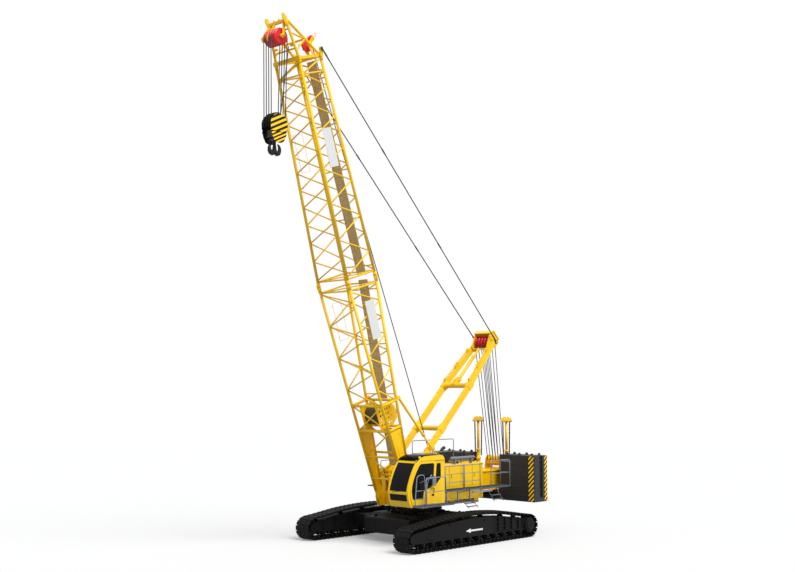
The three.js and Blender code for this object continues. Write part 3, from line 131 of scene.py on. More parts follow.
# ---------------------------------------------------------------- tracks
# Each track is a closed chain of cast steel shoes, three pads to a shoe, bolted to a pair of link
# rails. The shoes are flame-cut and painted black at the works, with bare metal showing where they
# rub.
def finish(
    name, colour, roughness, metallic=0.0, drift=0.07, grain=45.0, depth=0.012, coat=0.0,
    second=None, share=0.5,
):
    """A node material: colour that drifts with a broad noise, mottled roughness and a fine bump."""
    made = bpy.data.materials.new(name)
    made.use_nodes = True
    tree = made.node_tree
    bsdf = tree.nodes["Principled BSDF"]
    linear = [(c / 255 / 12.92 if c < 11 else ((c / 255 + 0.055) / 1.055) ** 2.4) for c in colour]
    place = tree.nodes.new("ShaderNodeTexCoord")

    def noise(scale, detail):
        n = tree.nodes.new("ShaderNodeTexNoise")
        n.inputs["Scale"].default_value = scale
        n.inputs["Detail"].default_value = detail
        tree.links.new(place.outputs["Object"], n.inputs["Vector"])
        return n

    broad, fine = noise(0.9, 4), noise(grain, 3)
    ramp = tree.nodes.new("ShaderNodeValToRGB")
    ramp.color_ramp.elements[0].position = 0.3
    ramp.color_ramp.elements[1].position = 0.7
    ramp.color_ramp.elements[0].color = (*[c * (1 - drift) for c in linear], 1)
    ramp.color_ramp.elements[1].color = (*[min(1, c * (1 + drift)) for c in linear], 1)
    tree.links.new(broad.outputs["Fac"], ramp.inputs["Fac"])
    colour_out = ramp.outputs["Color"]
    if second:
        rub = noise(grain / 6, 6)
        edge = tree.nodes.new("ShaderNodeValToRGB")
        edge.color_ramp.elements[0].position = share
        edge.color_ramp.elements[1].position = share + 0.08
        tree.links.new(rub.outputs["Fac"], edge.inputs["Fac"])
        worn = tree.nodes.new("ShaderNodeMixRGB")
        worn.inputs["Color2"].default_value = (*[(c / 255) ** 2.2 for c in second], 1)
        tree.links.new(edge.outputs["Color"], worn.inputs["Fac"])
        tree.links.new(colour_out, worn.inputs["Color1"])
        colour_out = worn.outputs["Color"]
    tree.links.new(colour_out, bsdf.inputs["Base Color"])
    spread = tree.nodes.new("ShaderNodeMapRange")
    spread.inputs["To Min"].default_value = max(0.02, roughness - 0.07)
    spread.inputs["To Max"].default_value = min(1, roughness + 0.07)
    tree.links.new(fine.outputs["Fac"], spread.inputs["Value"])
    tree.links.new(spread.outputs["Result"], bsdf.inputs["Roughness"])
    bsdf.inputs["Metallic"].default_value = metallic
    bsdf.inputs["Coat Weight"].default_value = coat
    bsdf.inputs["Specular IOR Level"].default_value = 0.3
    bump = tree.nodes.new("ShaderNodeBump")
    bump.inputs["Strength"].default_value = 0.35
    bump.inputs["Distance"].default_value = depth
    tree.links.new(fine.outputs["Fac"], bump.inputs["Height"])
    tree.links.new(bump.outputs["Normal"], bsdf.inputs["Normal"])
    return made


def specular(made, level):
    made.node_tree.nodes["Principled BSDF"].inputs["Specular IOR Level"].default_value = level


black_specular = 0.12
box_faces = [(0, 1, 3, 2), (4, 6, 7, 5), (0, 4, 5, 1), (2, 3, 7, 6), (0, 2, 6, 4), (1, 5, 7, 3)]


class Work:
    """Bodies gathered one by one, each in the finish in use, then made into one object."""

    def __init__(self):
        self.points, self.faces, self.slots, self.smooth, self.now = [], [], [], [], 0

    def use(self, index):
        self.now = index
        return self

    def add(self, points, faces, smooth=False):
        base = len(self.points)
        self.points += [tuple(p) for p in points]
        for k, face in enumerate(faces):
            self.faces.append([base + i for i in face])
            self.slots.append(self.now)
            self.smooth.append(bool(smooth) and len(face) == 4)

    def brick(self, x0, x1, y0, y1, z0, z1):
        p = [(x, y, z) for x in (x0, x1) for y in (y0, y1) for z in (z0, z1)]
        self.add(p, box_faces)

    def turned(self, a, b, profile, sides=24):
        """A lathe form on the line a to b; profile is (share of the line, radius)."""
        a, b = Vector(a), Vector(b)
        along = (b - a).normalized()
        u = along.orthogonal().normalized()
        v = along.cross(u)
        points, faces = [], []
        for t, r in profile:
            c = a.lerp(b, t)
            for k in range(sides):
                w = 2 * math.pi * k / sides
                points.append(c + u * (r * math.cos(w)) + v * (r * math.sin(w)))
        for i in range(len(profile) - 1):
            for k in range(sides):
                j = (k + 1) % sides
                faces.append(
                    (i * sides + k, i * sides + j, (i + 1) * sides + j, (i + 1) * sides + k)
                )
        last = (len(profile) - 1) * sides
        faces.append(tuple(range(sides))[::-1])
        faces.append(tuple(last + k for k in range(sides)))
        self.add(points, faces, True)

    def rod(self, a, b, r, end=None, sides=12):
        self.turned(a, b, [(0, r), (1, r if end is None else end)], sides)

    def disc(self, x, z, y0, y1, r, sides=28):
        self.rod((x, y0, z), (x, y1, z), r, sides=sides)

    def bolt(self, p, way, r=0.02, h=0.018):
        p = Vector(p)
        self.rod(p, p + Vector(way) * h, r, sides=6)

    def pipe(self, points, r, sides=8, loop=False, bend=0.0):
        """A tube through the points, its corners rounded by bend."""
        pts = [Vector(p) for p in points]
        if bend:
            soft = [pts[0]]
            for p, q, s in zip(pts, pts[1:], pts[2:]):
                back, fore = (p - q), (s - q)
                reach = min(bend, back.length / 2.1, fore.length / 2.1)
                e0, e1 = q + back.normalized() * reach, q + fore.normalized() * reach
                for k in range(5):
                    t = k / 4
                    soft.append(e0 * (1 - t) ** 2 + q * (2 * t * (1 - t)) + e1 * t**2)
            pts = soft + [pts[-1]]
        n = len(pts)
        ring, made, u = [], [], None
        for i, p in enumerate(pts):
            fore = pts[(i + 1) % n] - p if (loop or i < n - 1) else p - pts[i - 1]
            back = p - pts[i - 1] if (loop or i > 0) else fore
            way = (fore.normalized() + back.normalized()).normalized()
            u = way.orthogonal().normalized() if u is None else (u - way * u.dot(way)).normalized()
            v = way.cross(u)
            for k in range(sides):
                w = 2 * math.pi * k / sides
                size = r[i] if isinstance(r, list) else r
                ring.append(p + u * (size * math.cos(w)) + v * (size * math.sin(w)))
        for i in range(n if loop else n - 1):
            j = (i + 1) % n
            for k in range(sides):
                m = (k + 1) % sides
                made.append((i * sides + k, i * sides + m, j * sides + m, j * sides + k))
        if not loop:
            made += [tuple(range(sides))[::-1], tuple((n - 1) * sides + k for k in range(sides))]
        self.add(ring, made, True)

    def prism(self, outline, lo, hi, holes=(), axis="y"):
        """A flat plate: its outline lies in XZ (axis y), XY (axis z) or YZ (axis x)."""
        put = {
            "y": lambda p, h: (p[0], h, p[1]), "z": lambda p, h: (p[0], p[1], h), "x": lambda p,
            h: (h, p[0], p[1]),
        }[axis]
        loops = [list(outline)] + [list(h) for h in holes]
        flat = [p for loop in loops for p in loop]
        n = len(flat)
        points = [put(p, lo) for p in flat] + [put(p, hi) for p in flat]
        faces = []
        if holes:
            tris = tessellate_polygon([[Vector((p[0], p[1], 0)) for p in loop] for loop in loops])
            faces += [tuple(t) for t in tris] + [tuple(n + i for i in t)[::-1] for t in tris]
        else:
            faces += [tuple(range(n)), tuple(range(n, 2 * n))[::-1]]
        start = 0
        for loop in loops:
            m = len(loop)
            for k in range(m):
                i, j = start + k, start + (k + 1) % m
                faces.append((i, j, n + j, n + i))
            start += m
        self.add(points, faces)

    def beam(self, a, b, across, tall, side=(0, 1, 0)):
        """A rectangular bar from a to b, its width kept close to the side direction."""
        a, b, side = Vector(a), Vector(b), Vector(side)
        along = (b - a).normalized()
        up = along.cross(side).normalized()
        side = up.cross(along).normalized()
        p = [
            e + side * (i * across / 2) + up * (j * tall / 2)
            for e in (a, b)
            for i in (-1, 1)
            for j in (-1, 1)
        ]
        self.add(p, box_faces)

    def mirrored(self):
        other = Work()
        other.points = [(x, -y, z) for x, y, z in self.points]
        other.faces = [f[::-1] for f in self.faces]
        other.slots, other.smooth = list(self.slots), list(self.smooth)
        return other

    def make(self, name, finishes, body, nodes=(), slot=None, bevel=0.0):
        mesh = bpy.data.meshes.new(name)
        mesh.from_pydata(self.points, [], self.faces)
        for f in finishes:
            mesh.materials.append(f)
        mesh.polygons.foreach_set("material_index", self.slots)
        mesh.polygons.foreach_set("use_smooth", self.smooth)
        shape = bmesh.new()
        shape.from_mesh(mesh)
        bmesh.ops.recalc_face_normals(shape, faces=shape.faces)
        shape.to_mesh(mesh)
        shape.free()
        piece = bpy.data.objects.new(name, mesh)
        scene.collection.objects.link(piece)
        if bevel:
            edge = piece.modifiers.new("edges", "BEVEL")
            edge.width = bevel
            edge.segments = 2
            edge.limit_method = "ANGLE"
            edge.angle_limit = math.radians(40)
        if body:
            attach(piece, body)
        if nodes:
            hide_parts(*nodes)
        return piece


track_y = 2.915
wheel_x = 3.65
belt_r = 0.5
crest = [(wheel_x, 1.0), (1.7, 1.24), (-0.25, 1.33), (-1.95, 1.24), (-wheel_x, 1.0)]
crest_slopes = ((0.09, 0.085), (0.085, 0.0), (0.0, -0.09), (-0.09, -0.1))


def top_z(x):
    """Height of the shoes' outer faces along the carrying run."""
    x = max(-wheel_x, min(wheel_x, x))
    for (x0, z0), (x1, z1), (m0, m1) in zip(crest, crest[1:], crest_slopes):
        if x >= x1:
            t = (x0 - x) / (x0 - x1)
            span = x0 - x1
            h00, h10 = 2 * t**3 - 3 * t**2 + 1, t**3 - 2 * t**2 + t
            h01, h11 = -2 * t**3 + 3 * t**2, t**3 - t**2
            return h00 * z0 + h10 * span * m0 + h01 * z1 + h11 * span * m1
    return 1.0


run_steps, turn_steps = 120, 30
belt = []
for i in range(run_steps + 1):
    belt.append((-wheel_x + 2 * wheel_x * i / run_steps, 0.0))
for i in range(1, turn_steps):
    w = -math.pi / 2 + math.pi * i / turn_steps
    belt.append((wheel_x + belt_r * math.cos(w), belt_r + belt_r * math.sin(w)))
for i in range(run_steps + 1):
    x = wheel_x - 2 * wheel_x * i / run_steps
    belt.append((x, top_z(x)))
for i in range(1, turn_steps):
    w = math.pi / 2 + math.pi * i / turn_steps
    belt.append((-wheel_x + belt_r * math.cos(w), belt_r + belt_r * math.sin(w)))
belt_at = [0.0]
for p, q in zip(belt, belt[1:] + belt[:1]):
    belt_at.append(belt_at[-1] + math.hypot(q[0] - p[0], q[1] - p[1]))
belt_total = belt_at[-1]
nominal_pitch = 0.26
shoe_count = round(belt_total / nominal_pitch)
shoe_pitch = belt_total / shoe_count


def on_belt(s):
    """The point at a distance s along the closed belt line."""
    s %= belt_total
    i = next(k for k in range(len(belt)) if belt_at[k + 1] >= s)
    p, q = belt[i], belt[(i + 1) % len(belt)]
    t = (s - belt_at[i]) / (belt_at[i + 1] - belt_at[i])
    return Vector((p[0] + t * (q[0] - p[0]), 0, p[1] + t * (q[1] - p[1])))


track = Work()
for i in range(shoe_count):
    a, b = on_belt((i - 0.46) * shoe_pitch), on_belt((i + 0.46) * shoe_pitch)
    way = (b - a).normalized()
    out = Vector((way.z, 0, -way.x))
    mid = (a + b) / 2 + Vector((0, track_y, 0))

    def block(t0, t1, n0, n1, y0, y1, taper=0.0):
        p = []
        for t in (t0, t1):
            for n in (n0, n1):
                for y in (y0, y1):
                    inset = taper if n == n1 else 0
                    tt = t + (inset if t == t0 else -inset)
                    yy = y + (inset if y == y0 else -inset)
                    p.append(mid + way * tt + out * n + Vector((0, yy, 0)))
        track.add(p, box_faces)

    track.use(0)
    block(-0.119, 0.119, -0.052, -0.024, -0.34, 0.34)
    for y in (-0.425, 0.34):
        block(-0.09, 0.10, -0.052, -0.024, y, y + 0.085)
    for y in (-0.4, -0.14, 0.16):
        block(-0.095, 0.095, -0.024, 0.0, y, y + 0.24, 0.022)
    for y in (-0.135, 0.085):
        block(-0.135, 0.115, -0.15, -0.05, y, y + 0.05)
    for y in (-0.27, 0.22):
        block(-0.06, 0.06, -0.085, -0.05, y, y + 0.05)
    track.use(1)
    centre = mid + way * 0.125 - out * 0.10
    track.rod(centre - Vector((0, 0.16, 0)), centre + Vector((0, 0.16, 0)), 0.028, sides=8)
    for y in (-0.06, 0.06):
        track.bolt(mid + way * 0.06 - out * 0.024 + Vector((0, y * 2.0, 0)), out, 0.014, 0.006)
track_paint = finish(
    "track_black", (15, 15, 16), 0.6, 0.1, 0.2, 30, 0.01, second=(38, 38, 37), share=0.68
)
track_bare = finish("track_pin_steel", (88, 86, 82), 0.4, 0.85, 0.15, 80, 0.004)
specular(track_paint, black_specular)
track.make(
    "left_track_chain", [track_paint, track_bare], "undercarriage", ["left_track"], "track_steel",
    0.004,
)
track.mirrored().make(
    "right_track_chain", [track_paint, track_bare], "undercarriage", ["right_track"],
    "track_steel", 0.004,
)


# ---------------------------------------------------------------- track frames
# Each side frame is a welded box beam with bolted cover panels, a recessed rear bay round the final
# drive, and a row of lower rollers with end caps; painted black, with a white direction arrow on
# the outer panel.
frame_low = 0.37
frame_drop = 0.215
plate_in, plate_out = 3.12, 3.23
hub_z = 0.53
side_frame = Work()


def frame_top(x):
    return (x, top_z(x) - frame_drop)


def frame_panel(x0, x1, y0, y1, steps=8):
    """A plate whose upper edge follows the track's carrying run."""
    top = [frame_top(x1 + (x0 - x1) * i / steps) for i in range(steps + 1)]
    side_frame.prism([(x0, frame_low), (x1, frame_low)] + top, y0, y1)


nose = [
    (2.706, frame_low), (3.77, frame_low), (3.91, 0.5), (3.86, 0.68), (3.62, frame_top(3.6)[1]),
    frame_top(3.2), frame_top(2.706),
]
frame_panel(-3.22, 3.22, 2.70, 3.13, steps=14)
frame_panel(-1.157, 1.247, plate_in, plate_out)
frame_panel(1.253, 2.697, plate_in, plate_out)
side_frame.prism(nose, plate_in, plate_out)
side_frame.prism(
    [
        (-3.89, 0.5), (-3.77, frame_low), (-1.163, frame_low), frame_top(-1.163), frame_top(-2.4),
        frame_top(-3.3), (-3.77, 0.785), (-3.87, 0.6),
    ],
    3.12, 3.165,
)
side_frame.prism(
    [
        (-3.87, 0.5), (-3.77, frame_low), (3.77, frame_low), (3.91, 0.5), (3.86, 0.68),
        frame_top(3.4), frame_top(1.7), frame_top(-0.25), frame_top(-2.0), frame_top(-3.3),
        (-3.77, 0.785),
    ],
    2.6, 2.715,
)
for x in (-1.6, -2.05, -2.5, -2.95):
    side_frame.brick(x, x + 0.035, 3.16, 3.222, 0.45, top_z(x) - 0.26)
for x0, x1, z in ((-2.95, -1.2, 0.78), (-2.5, -1.2, 0.6)):
    side_frame.brick(x0, x1, 3.16, 3.20, z, z + 0.035)
for i in range(9):
    x0 = -1.17 - 0.24 * i
    side_frame.beam(
        (x0, 3.18, top_z(x0) - 0.235), (x0 - 0.24, 3.18, top_z(x0 - 0.24) - 0.235), 0.10, 0.03
    )
side_frame.brick(-3.3, -1.16, 3.12, 3.225, 0.36, 0.40)
for x in (-3.0, -2.2, -1.5, -0.7, 0.1, 0.9, 1.7, 2.5, 3.2):
    side_frame.brick(x - 0.02, x + 0.02, 2.545, 2.61, 0.40, top_z(x) - 0.25)
side_frame.brick(-3.3, 3.5, 2.56, 2.61, 0.36, 0.41)
for x in (1.15, 1.35, -1.05, 2.6, 2.8):
    for z in (0.45, 0.75, 0.98):
        if z < top_z(x) - 0.28:
            side_frame.bolt((x, 3.23, z), (0, 1, 0), 0.022, 0.014)
for x, z, r in ((1.55, 0.97, 0.04), (-0.62, 0.98, 0.035), (2.9, 0.55, 0.03)):
    side_frame.disc(x, z, 3.22, 3.26, r, 16)
side_frame.turned(
    (-wheel_x, 3.1, hub_z), (-wheel_x, 3.325, hub_z),
    [(0, 0.36), (0.35, 0.36), (0.4, 0.33), (0.78, 0.33), (0.84, 0.24), (0.97, 0.235), (1, 0.2)],
    40,
)
for k in range(14):
    w = 2 * math.pi * k / 14
    side_frame.bolt(
        (-wheel_x + 0.285 * math.cos(w), 3.27, hub_z + 0.285 * math.sin(w)), (0, 1, 0), 0.02, 0.02
    )
side_frame.turned(
    (-wheel_x, 2.62, hub_z), (-wheel_x, 2.46, hub_z),
    [(0, 0.28), (0.5, 0.28), (0.56, 0.22), (1, 0.2)], 32,
)
roller_x = [3.09 - 0.5618 * i for i in range(12)]
roller_z = 0.272
carrier_drop, carrier_r = 0.15, 0.085
for x in roller_x:
    side_frame.turned(
        (x, track_y - 0.25, roller_z), (x, track_y + 0.25, roller_z),
        [
            (0, 0.07), (0.05, 0.1), (0.12, 0.12), (0.3, 0.12), (0.34, 0.095), (0.66, 0.095),
            (0.7, 0.12), (0.88, 0.12), (0.95, 0.1), (1, 0.07),
        ],
        20,
    )
    for y in (2.62, 3.165):
        side_frame.prism(
            [(x - 0.1, 0.38), (x - 0.06, 0.2), (x + 0.06, 0.2), (x + 0.1, 0.38)], y, y + 0.05
        )
    side_frame.disc(x, roller_z, 3.21, 3.235, 0.045, 12)
for x in (1.9, 0.6, -0.7, -2.0, -2.9):
    z = top_z(x) - carrier_drop - carrier_r
    side_frame.turned(
        (x, track_y - 0.13, z), (x, track_y + 0.13, z),
        [(0, 0.06), (0.1, 0.08), (0.9, 0.08), (1, 0.06)], 16,
    )
    side_frame.brick(x - 0.05, x + 0.05, track_y - 0.05, track_y + 0.05, z - 0.16, z)
side_frame.use(1)
side_frame.prism(
    [
        (0.58, 0.62), (0.28, 0.71), (0.28, 0.655), (-0.49, 0.655), (-0.49, 0.585), (0.28, 0.585),
        (0.28, 0.53),
    ],
    3.23, 3.234,
)
frame_black = finish("undercarriage_black", (16, 16, 17), 0.5, 0.0, 0.12, 60, 0.004, 0.0)
arrow_white = finish("arrow_white", (238, 238, 236), 0.5, 0.0, 0.04)
specular(frame_black, black_specular)
side_frame.make(
    "left_side_frame", [frame_black, arrow_white], "undercarriage", ["left_track_frame"],
    "black_paint", 0.006,
)
side_frame.mirrored().make(
    "right_side_frame", [frame_black, arrow_white], "undercarriage", ["right_track_frame"],
    "black_paint", 0.006,
)


# ---------------------------------------------------------------- idlers and sprockets
# The front idler is a dished cast wheel and the rear sprocket a cast ring of thirteen teeth that
# meets the links. Both are cast steel in black paint, bare where the links roll on them.
idler = Work()
idler.turned(
    (wheel_x, track_y - 0.12, belt_r), (wheel_x, track_y + 0.12, belt_r),
    [
        (0, 0.26), (0, 0.31), (0.12, 0.325), (0.3, 0.33), (0.33, 0.346), (0.67, 0.346),
        (0.7, 0.33), (0.88, 0.325), (1, 0.31), (1, 0.26),
    ],
    48,
)
idler.turned(
    (wheel_x, track_y - 0.199, belt_r), (wheel_x, track_y + 0.199, belt_r),
    [(0, 0.1), (0.05, 0.13), (0.2, 0.15), (0.8, 0.15), (0.95, 0.13), (1, 0.1)],
    32,
)
for k in range(8):
    w = 2 * math.pi * k / 8
    c, s = math.cos(w), math.sin(w)
    idler.beam(
        (wheel_x + 0.12 * c, track_y, belt_r + 0.12 * s),
        (wheel_x + 0.28 * c, track_y, belt_r + 0.28 * s), 0.26, 0.03,
    )
sprocket = Work()
teeth = []
for i in range(13):
    for t, r in (
        (-0.3, 0.302), (-0.16, 0.33), (-0.09, 0.343), (0.09, 0.343), (0.16, 0.33), (0.3, 0.302)
    ):
        w = 2 * math.pi * (i + t) / 13
        teeth.append((-wheel_x + r * math.cos(w), belt_r + r * math.sin(w)))
sprocket.prism(teeth, track_y - 0.08, track_y + 0.08)
sprocket.turned(
    (-wheel_x, track_y - 0.199, belt_r), (-wheel_x, track_y + 0.199, belt_r),
    [(0, 0.2), (0.06, 0.23), (0.94, 0.23), (1, 0.2)], 36,
)
for k in range(12):
    w = 2 * math.pi * k / 12
    for y, way in ((track_y + 0.08, 1), (track_y - 0.08, -1)):
        sprocket.bolt(
            (-wheel_x + 0.265 * math.cos(w), y, belt_r + 0.265 * math.sin(w)),
            (0, way, 0), 0.018, 0.016,
        )
wheel_cast = finish("cast_wheel", (25, 25, 26), 0.5, 0.2, 0.15, 35, 0.008)
for work, name in ((idler, "idler_wheel"), (sprocket, "drive_sprocket")):
    work.make(
        "left_cast_" + name, [wheel_cast], "undercarriage", ["left_" + name], "black_paint", 0.004
    )
    work.mirrored().make(
        "right_cast_" + name, [wheel_cast], "undercarriage", ["right_" + name], "black_paint", 0.004
    )


# ---------------------------------------------------------------- carbody
# The carbody is a welded box with two cross beams that the side frames slide on, and a round
# pedestal on top. A ballast block hangs on its front and on its rear; all of it is painted black.
carbody = Work()
carbody.prism(
    [(-1.45, 0.43), (1.45, 0.43), (1.45, 1.0), (1.25, 1.12), (-1.25, 1.12), (-1.45, 1.0)], -1.5, 1.5
)
for x in (-1.0, 1.0):
    carbody.brick(x - 0.35, x + 0.35, -2.599, 2.599, 0.49, 0.97)
    for y in (-1.62, 1.54):
        carbody.brick(x - 0.4, x + 0.4, y, y + 0.08, 0.45, 1.02)
    for y in (-2.56, 2.44):
        carbody.brick(x - 0.38, x + 0.38, y, y + 0.1, 0.45, 0.99)
carbody.turned(
    (0, 0, 1.05), (0, 0, 1.29),
    [(0, 1.12), (0.3, 1.1), (0.35, 1.02), (0.75, 0.96), (0.8, 0.99), (1, 0.99)],
    64,
)
for k in range(16):
    w = 2 * math.pi * (k + 0.5) / 16
    c, s = math.cos(w), math.sin(w)
    carbody.prism([(-0.012, 0), (0.012, 0), (0.012, 0.01), (-0.012, 0.01)], 1.0, 1.01, axis="z")
    carbody.beam((1.2 * c, 1.2 * s, 1.13), (0.97 * c, 0.97 * s, 1.2), 0.025, 0.1, (-s, c, 0))
for side in (-1, 1):
    for x in (-0.42, 0.0, 0.42):
        carbody.pipe(
            [
                (x, side * 1.35, 1.1), (x, side * 1.6, 1.2), (x * 0.8 - 0.5, side * 2.1, 1.0),
                (-1.9, side * 2.5, 0.75), (-2.9, side * 2.52, 0.62),
            ],
            0.022, 8, bend=0.25,
        )
    for x in (-0.5, 0.5):
        carbody.prism(
            [(x - 0.09, 1.1), (x + 0.09, 1.1), (x + 0.05, 1.24), (x - 0.05, 1.24)],
            side * 1.3 - 0.02, side * 1.3 + 0.02,
        )
carbody_black = finish("carbody_black", (18, 18, 19), 0.55, 0.0, 0.12, 50, 0.005, 0.0)
specular(carbody_black, black_specular)
carbody.make("welded_carbody", [carbody_black], "undercarriage", ["carbody"], "black_paint", 0.01)
for end, name in ((1, "front"), (-1, "rear")):
    block = Work()
    block.prism(
        [
            (end * x, z)
            for x, z in ((1.4503, 0.35), (1.97, 0.35), (1.97, 0.95), (1.91, 1.01), (1.4503, 0.99))
        ],
        -1.33, 1.33,
    )
    for y in (-0.9, 0.9):
        block.prism(
            [(end * x, z) for x, z in ((1.6, 1.0), (1.8, 1.0), (1.76, 1.1), (1.64, 1.1))],
            y - 0.02, y + 0.02,
        )
        block.brick(end * 1.97 - 0.012, end * 1.97 + 0.012, y - 0.3, y + 0.3, 0.42, 0.5)
    for y in (-0.66, 0.0, 0.66):
        block.brick(end * 1.965 - 0.01, end * 1.965 + 0.01, y - 0.008, y + 0.008, 0.37, 0.96)
    block.make(
        "ballast_" + name, [carbody_black], "undercarriage", ["carbody_weight_" + name],
        "black_paint", 0.02,
    )
ring = Work()
ring.turned(
    (0, 0, 1.2903), (0, 0, 1.4497),
    [
        (0, 0.84), (0, 1.0), (0.3, 1.0), (0.34, 0.985), (0.44, 0.985), (0.48, 1.0), (0.9, 1.0),
        (1, 0.985), (1, 0.84),
    ],
    72,
)
for k in range(36):
    w = 2 * math.pi * k / 36
    ring.rod(
        (1.02 * math.cos(w), 1.02 * math.sin(w), 1.291),
        (1.02 * math.cos(w), 1.02 * math.sin(w), 1.335), 0.02, sides=6,
    )
ring_steel = finish("slew_ring_steel", (44, 44, 45), 0.4, 0.6, 0.12, 70, 0.003)
ring.make("slewing_bearing", [ring_steel], "undercarriage", ["slew_ring"], "black_paint")


# ---------------------------------------------------------------- turntable
# The turntable is a welded box frame that carries everything above the slewing ring; its beam runs
# back to the ballast. It is fabricated steel plate in gloss yellow, with bolted brackets, hose runs
# and a black chequered edge.
yellow = finish("crane_yellow_gloss", (254, 204, 10), 0.36, 0.0, 0.05, 70, 0.002, 0.12)
yellow_shade = finish("crane_yellow_plate", (250, 194, 4), 0.42, 0.0, 0.06, 55, 0.003, 0.05)
hose_black = finish("hose_black", (24, 24, 25), 0.6, 0.0, 0.1, 120, 0.003)
bare_steel = finish("bare_steel", (150, 150, 150), 0.3, 0.9, 0.12, 90, 0.002)
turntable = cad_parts["turntable_frame"]
turntable.data.materials.clear()
turntable.data.materials.append(yellow_shade)
boom_foot, mast_foot = (1.443, 1.841), (1.03, 2.95)


def six_hole(x, z, r):
    return [(x + r * math.cos(k), z + r * math.sin(k)) for k in (0, 1.05, 2.1, 3.14, 4.2, 5.24)]


fittings = Work()
for side in (-1, 1):
    for x in (-2.9, -3.4, -3.9, -4.9, -5.3):
        fittings.brick(x - 0.012, x + 0.012, side * 0.7 - 0.03, side * 0.7 + 0.03, 1.9, 2.68)
    for z in (1.86, 2.7):
        fittings.brick(-5.64, -2.9, side * 0.7 - 0.05, side * 0.7 + 0.05, z - 0.014, z + 0.014)
    for x in (-0.9, -1.8):
        fittings.brick(x, x + 0.03, side * 0.76 - 0.02, side * 0.76 + 0.2, 1.5, 2.0)
    fittings.disc(-3.15, 2.3, side * 0.7 - 0.03, side * 0.7 + 0.03, 0.12, 28)
    for x, z in (boom_foot, mast_foot):
        r = 0.15 if z < 2 else 0.12
        y = 1.06 if z < 2 else 0.91
        fittings.turned(
            (x, side * (y - 0.045), z), (x, side * (y - 0.012), z),
            [(0, r * 0.8), (0.5, r * 0.8), (1, r * 0.55)], 24,
        )
for y in (-0.42, -0.2, 0.02, 0.24, 0.46):
    fittings.prism(
        [
            (-3.75, 2.72), (-3.35, 2.72), (-3.32, 2.95), (-3.40, 3.1), (-3.55, 3.16),
            (-3.70, 3.08), (-3.78, 2.9),
        ],
        y - 0.018, y + 0.018, [six_hole(-3.6, 3.0, 0.05)],
    )
fittings.rod((-3.6, -0.5, 3.0), (-3.6, 0.54, 3.0), 0.04, sides=16)
fittings.brick(-4.2, -3.1, -0.62, 0.62, 2.72, 2.75)
fittings.use(1)
for k in range(5):
    y = -0.25 + 0.1 * k
    fittings.pipe(
        [
            (-2.6, y, 2.06), (-1.9, y, 2.14), (-1.0, y * 1.2, 2.10), (0.4, y * 1.4, 2.12),
            (1.0, y * 1.5, 2.08),
        ],
        0.02, 8, bend=0.3,
    )
for side in (-1, 1):
    fittings.pipe(
        [
            (1.15, side * 0.62, 2.07), (1.3, side * 0.6, 2.4), (1.5, side * 0.55, 2.75),
            (1.62, side * 0.5, 3.1),
        ],
        0.022, 8, bend=0.25,
    )
fittings.use(2)
for (x, z), y in ((boom_foot, 1.05), (mast_foot, 0.90)):
    for side in (-1, 1):
        fittings.bolt((x, side * (y - 0.005), z), (0, side, 0), 0.045, 0.02)
fittings.make(
    "turntable_fittings", [yellow, hose_black, bare_steel], "upperworks", slot="crane_yellow",
    bevel=0.004,
)


# ---------------------------------------------------------------- counterweight
# The ballast is two stacks of cast slabs on a tray, each slab a rounded block with lifting ears and
# a recessed slot. They are painted dark grey, with bands of yellow and black warning stripes at the
# outer corners.
def stripes_with_painted_glow(name, along, slope=1.0, width=0.2, dark=(8, 9, 26)):
    """Diagonal stripes painted straight across a flat face; along is its level axis. The stripes
    also glow faintly, painted light that keeps them bright on faces in shade.
    """
    made = finish(name, (252, 200, 10), 0.45, 0.0, 0.04)
    tree = made.node_tree
    bsdf = tree.nodes["Principled BSDF"]
    base = bsdf.inputs["Base Color"].links[0].from_socket
    place = tree.nodes.new("ShaderNodeTexCoord")
    split = tree.nodes.new("ShaderNodeSeparateXYZ")
    tree.links.new(place.outputs["Object"], split.inputs[0])
    lean = tree.nodes.new("ShaderNodeMath")
    lean.operation = "MULTIPLY_ADD"
    lean.inputs[1].default_value = slope
    tree.links.new(split.outputs[along], lean.inputs[0])
    tree.links.new(split.outputs["Z"], lean.inputs[2])
    beat = tree.nodes.new("ShaderNodeMath")
    beat.operation = "PINGPONG"
    beat.inputs[1].default_value = width / 2
    tree.links.new(lean.outputs[0], beat.inputs[0])
    step = tree.nodes.new("ShaderNodeMath")
    step.operation = "GREATER_THAN"
    step.inputs[1].default_value = width * 0.235
    tree.links.new(beat.outputs[0], step.inputs[0])
    mix = tree.nodes.new("ShaderNodeMixRGB")
    mix.inputs["Color2"].default_value = (*[(c / 255) ** 2.2 for c in dark], 1)
    tree.links.new(step.outputs[0], mix.inputs["Fac"])
    tree.links.new(base, mix.inputs["Color1"])
    tree.links.new(mix.outputs["Color"], bsdf.inputs["Base Color"])
    # Painted light: the stripe colour also feeds a faint emission, so the stripes stay bright on
    # faces in shade.
    tree.links.new(mix.outputs["Color"], bsdf.inputs["Emission Color"])
    bsdf.inputs["Emission Strength"].default_value = 0.25
    return made


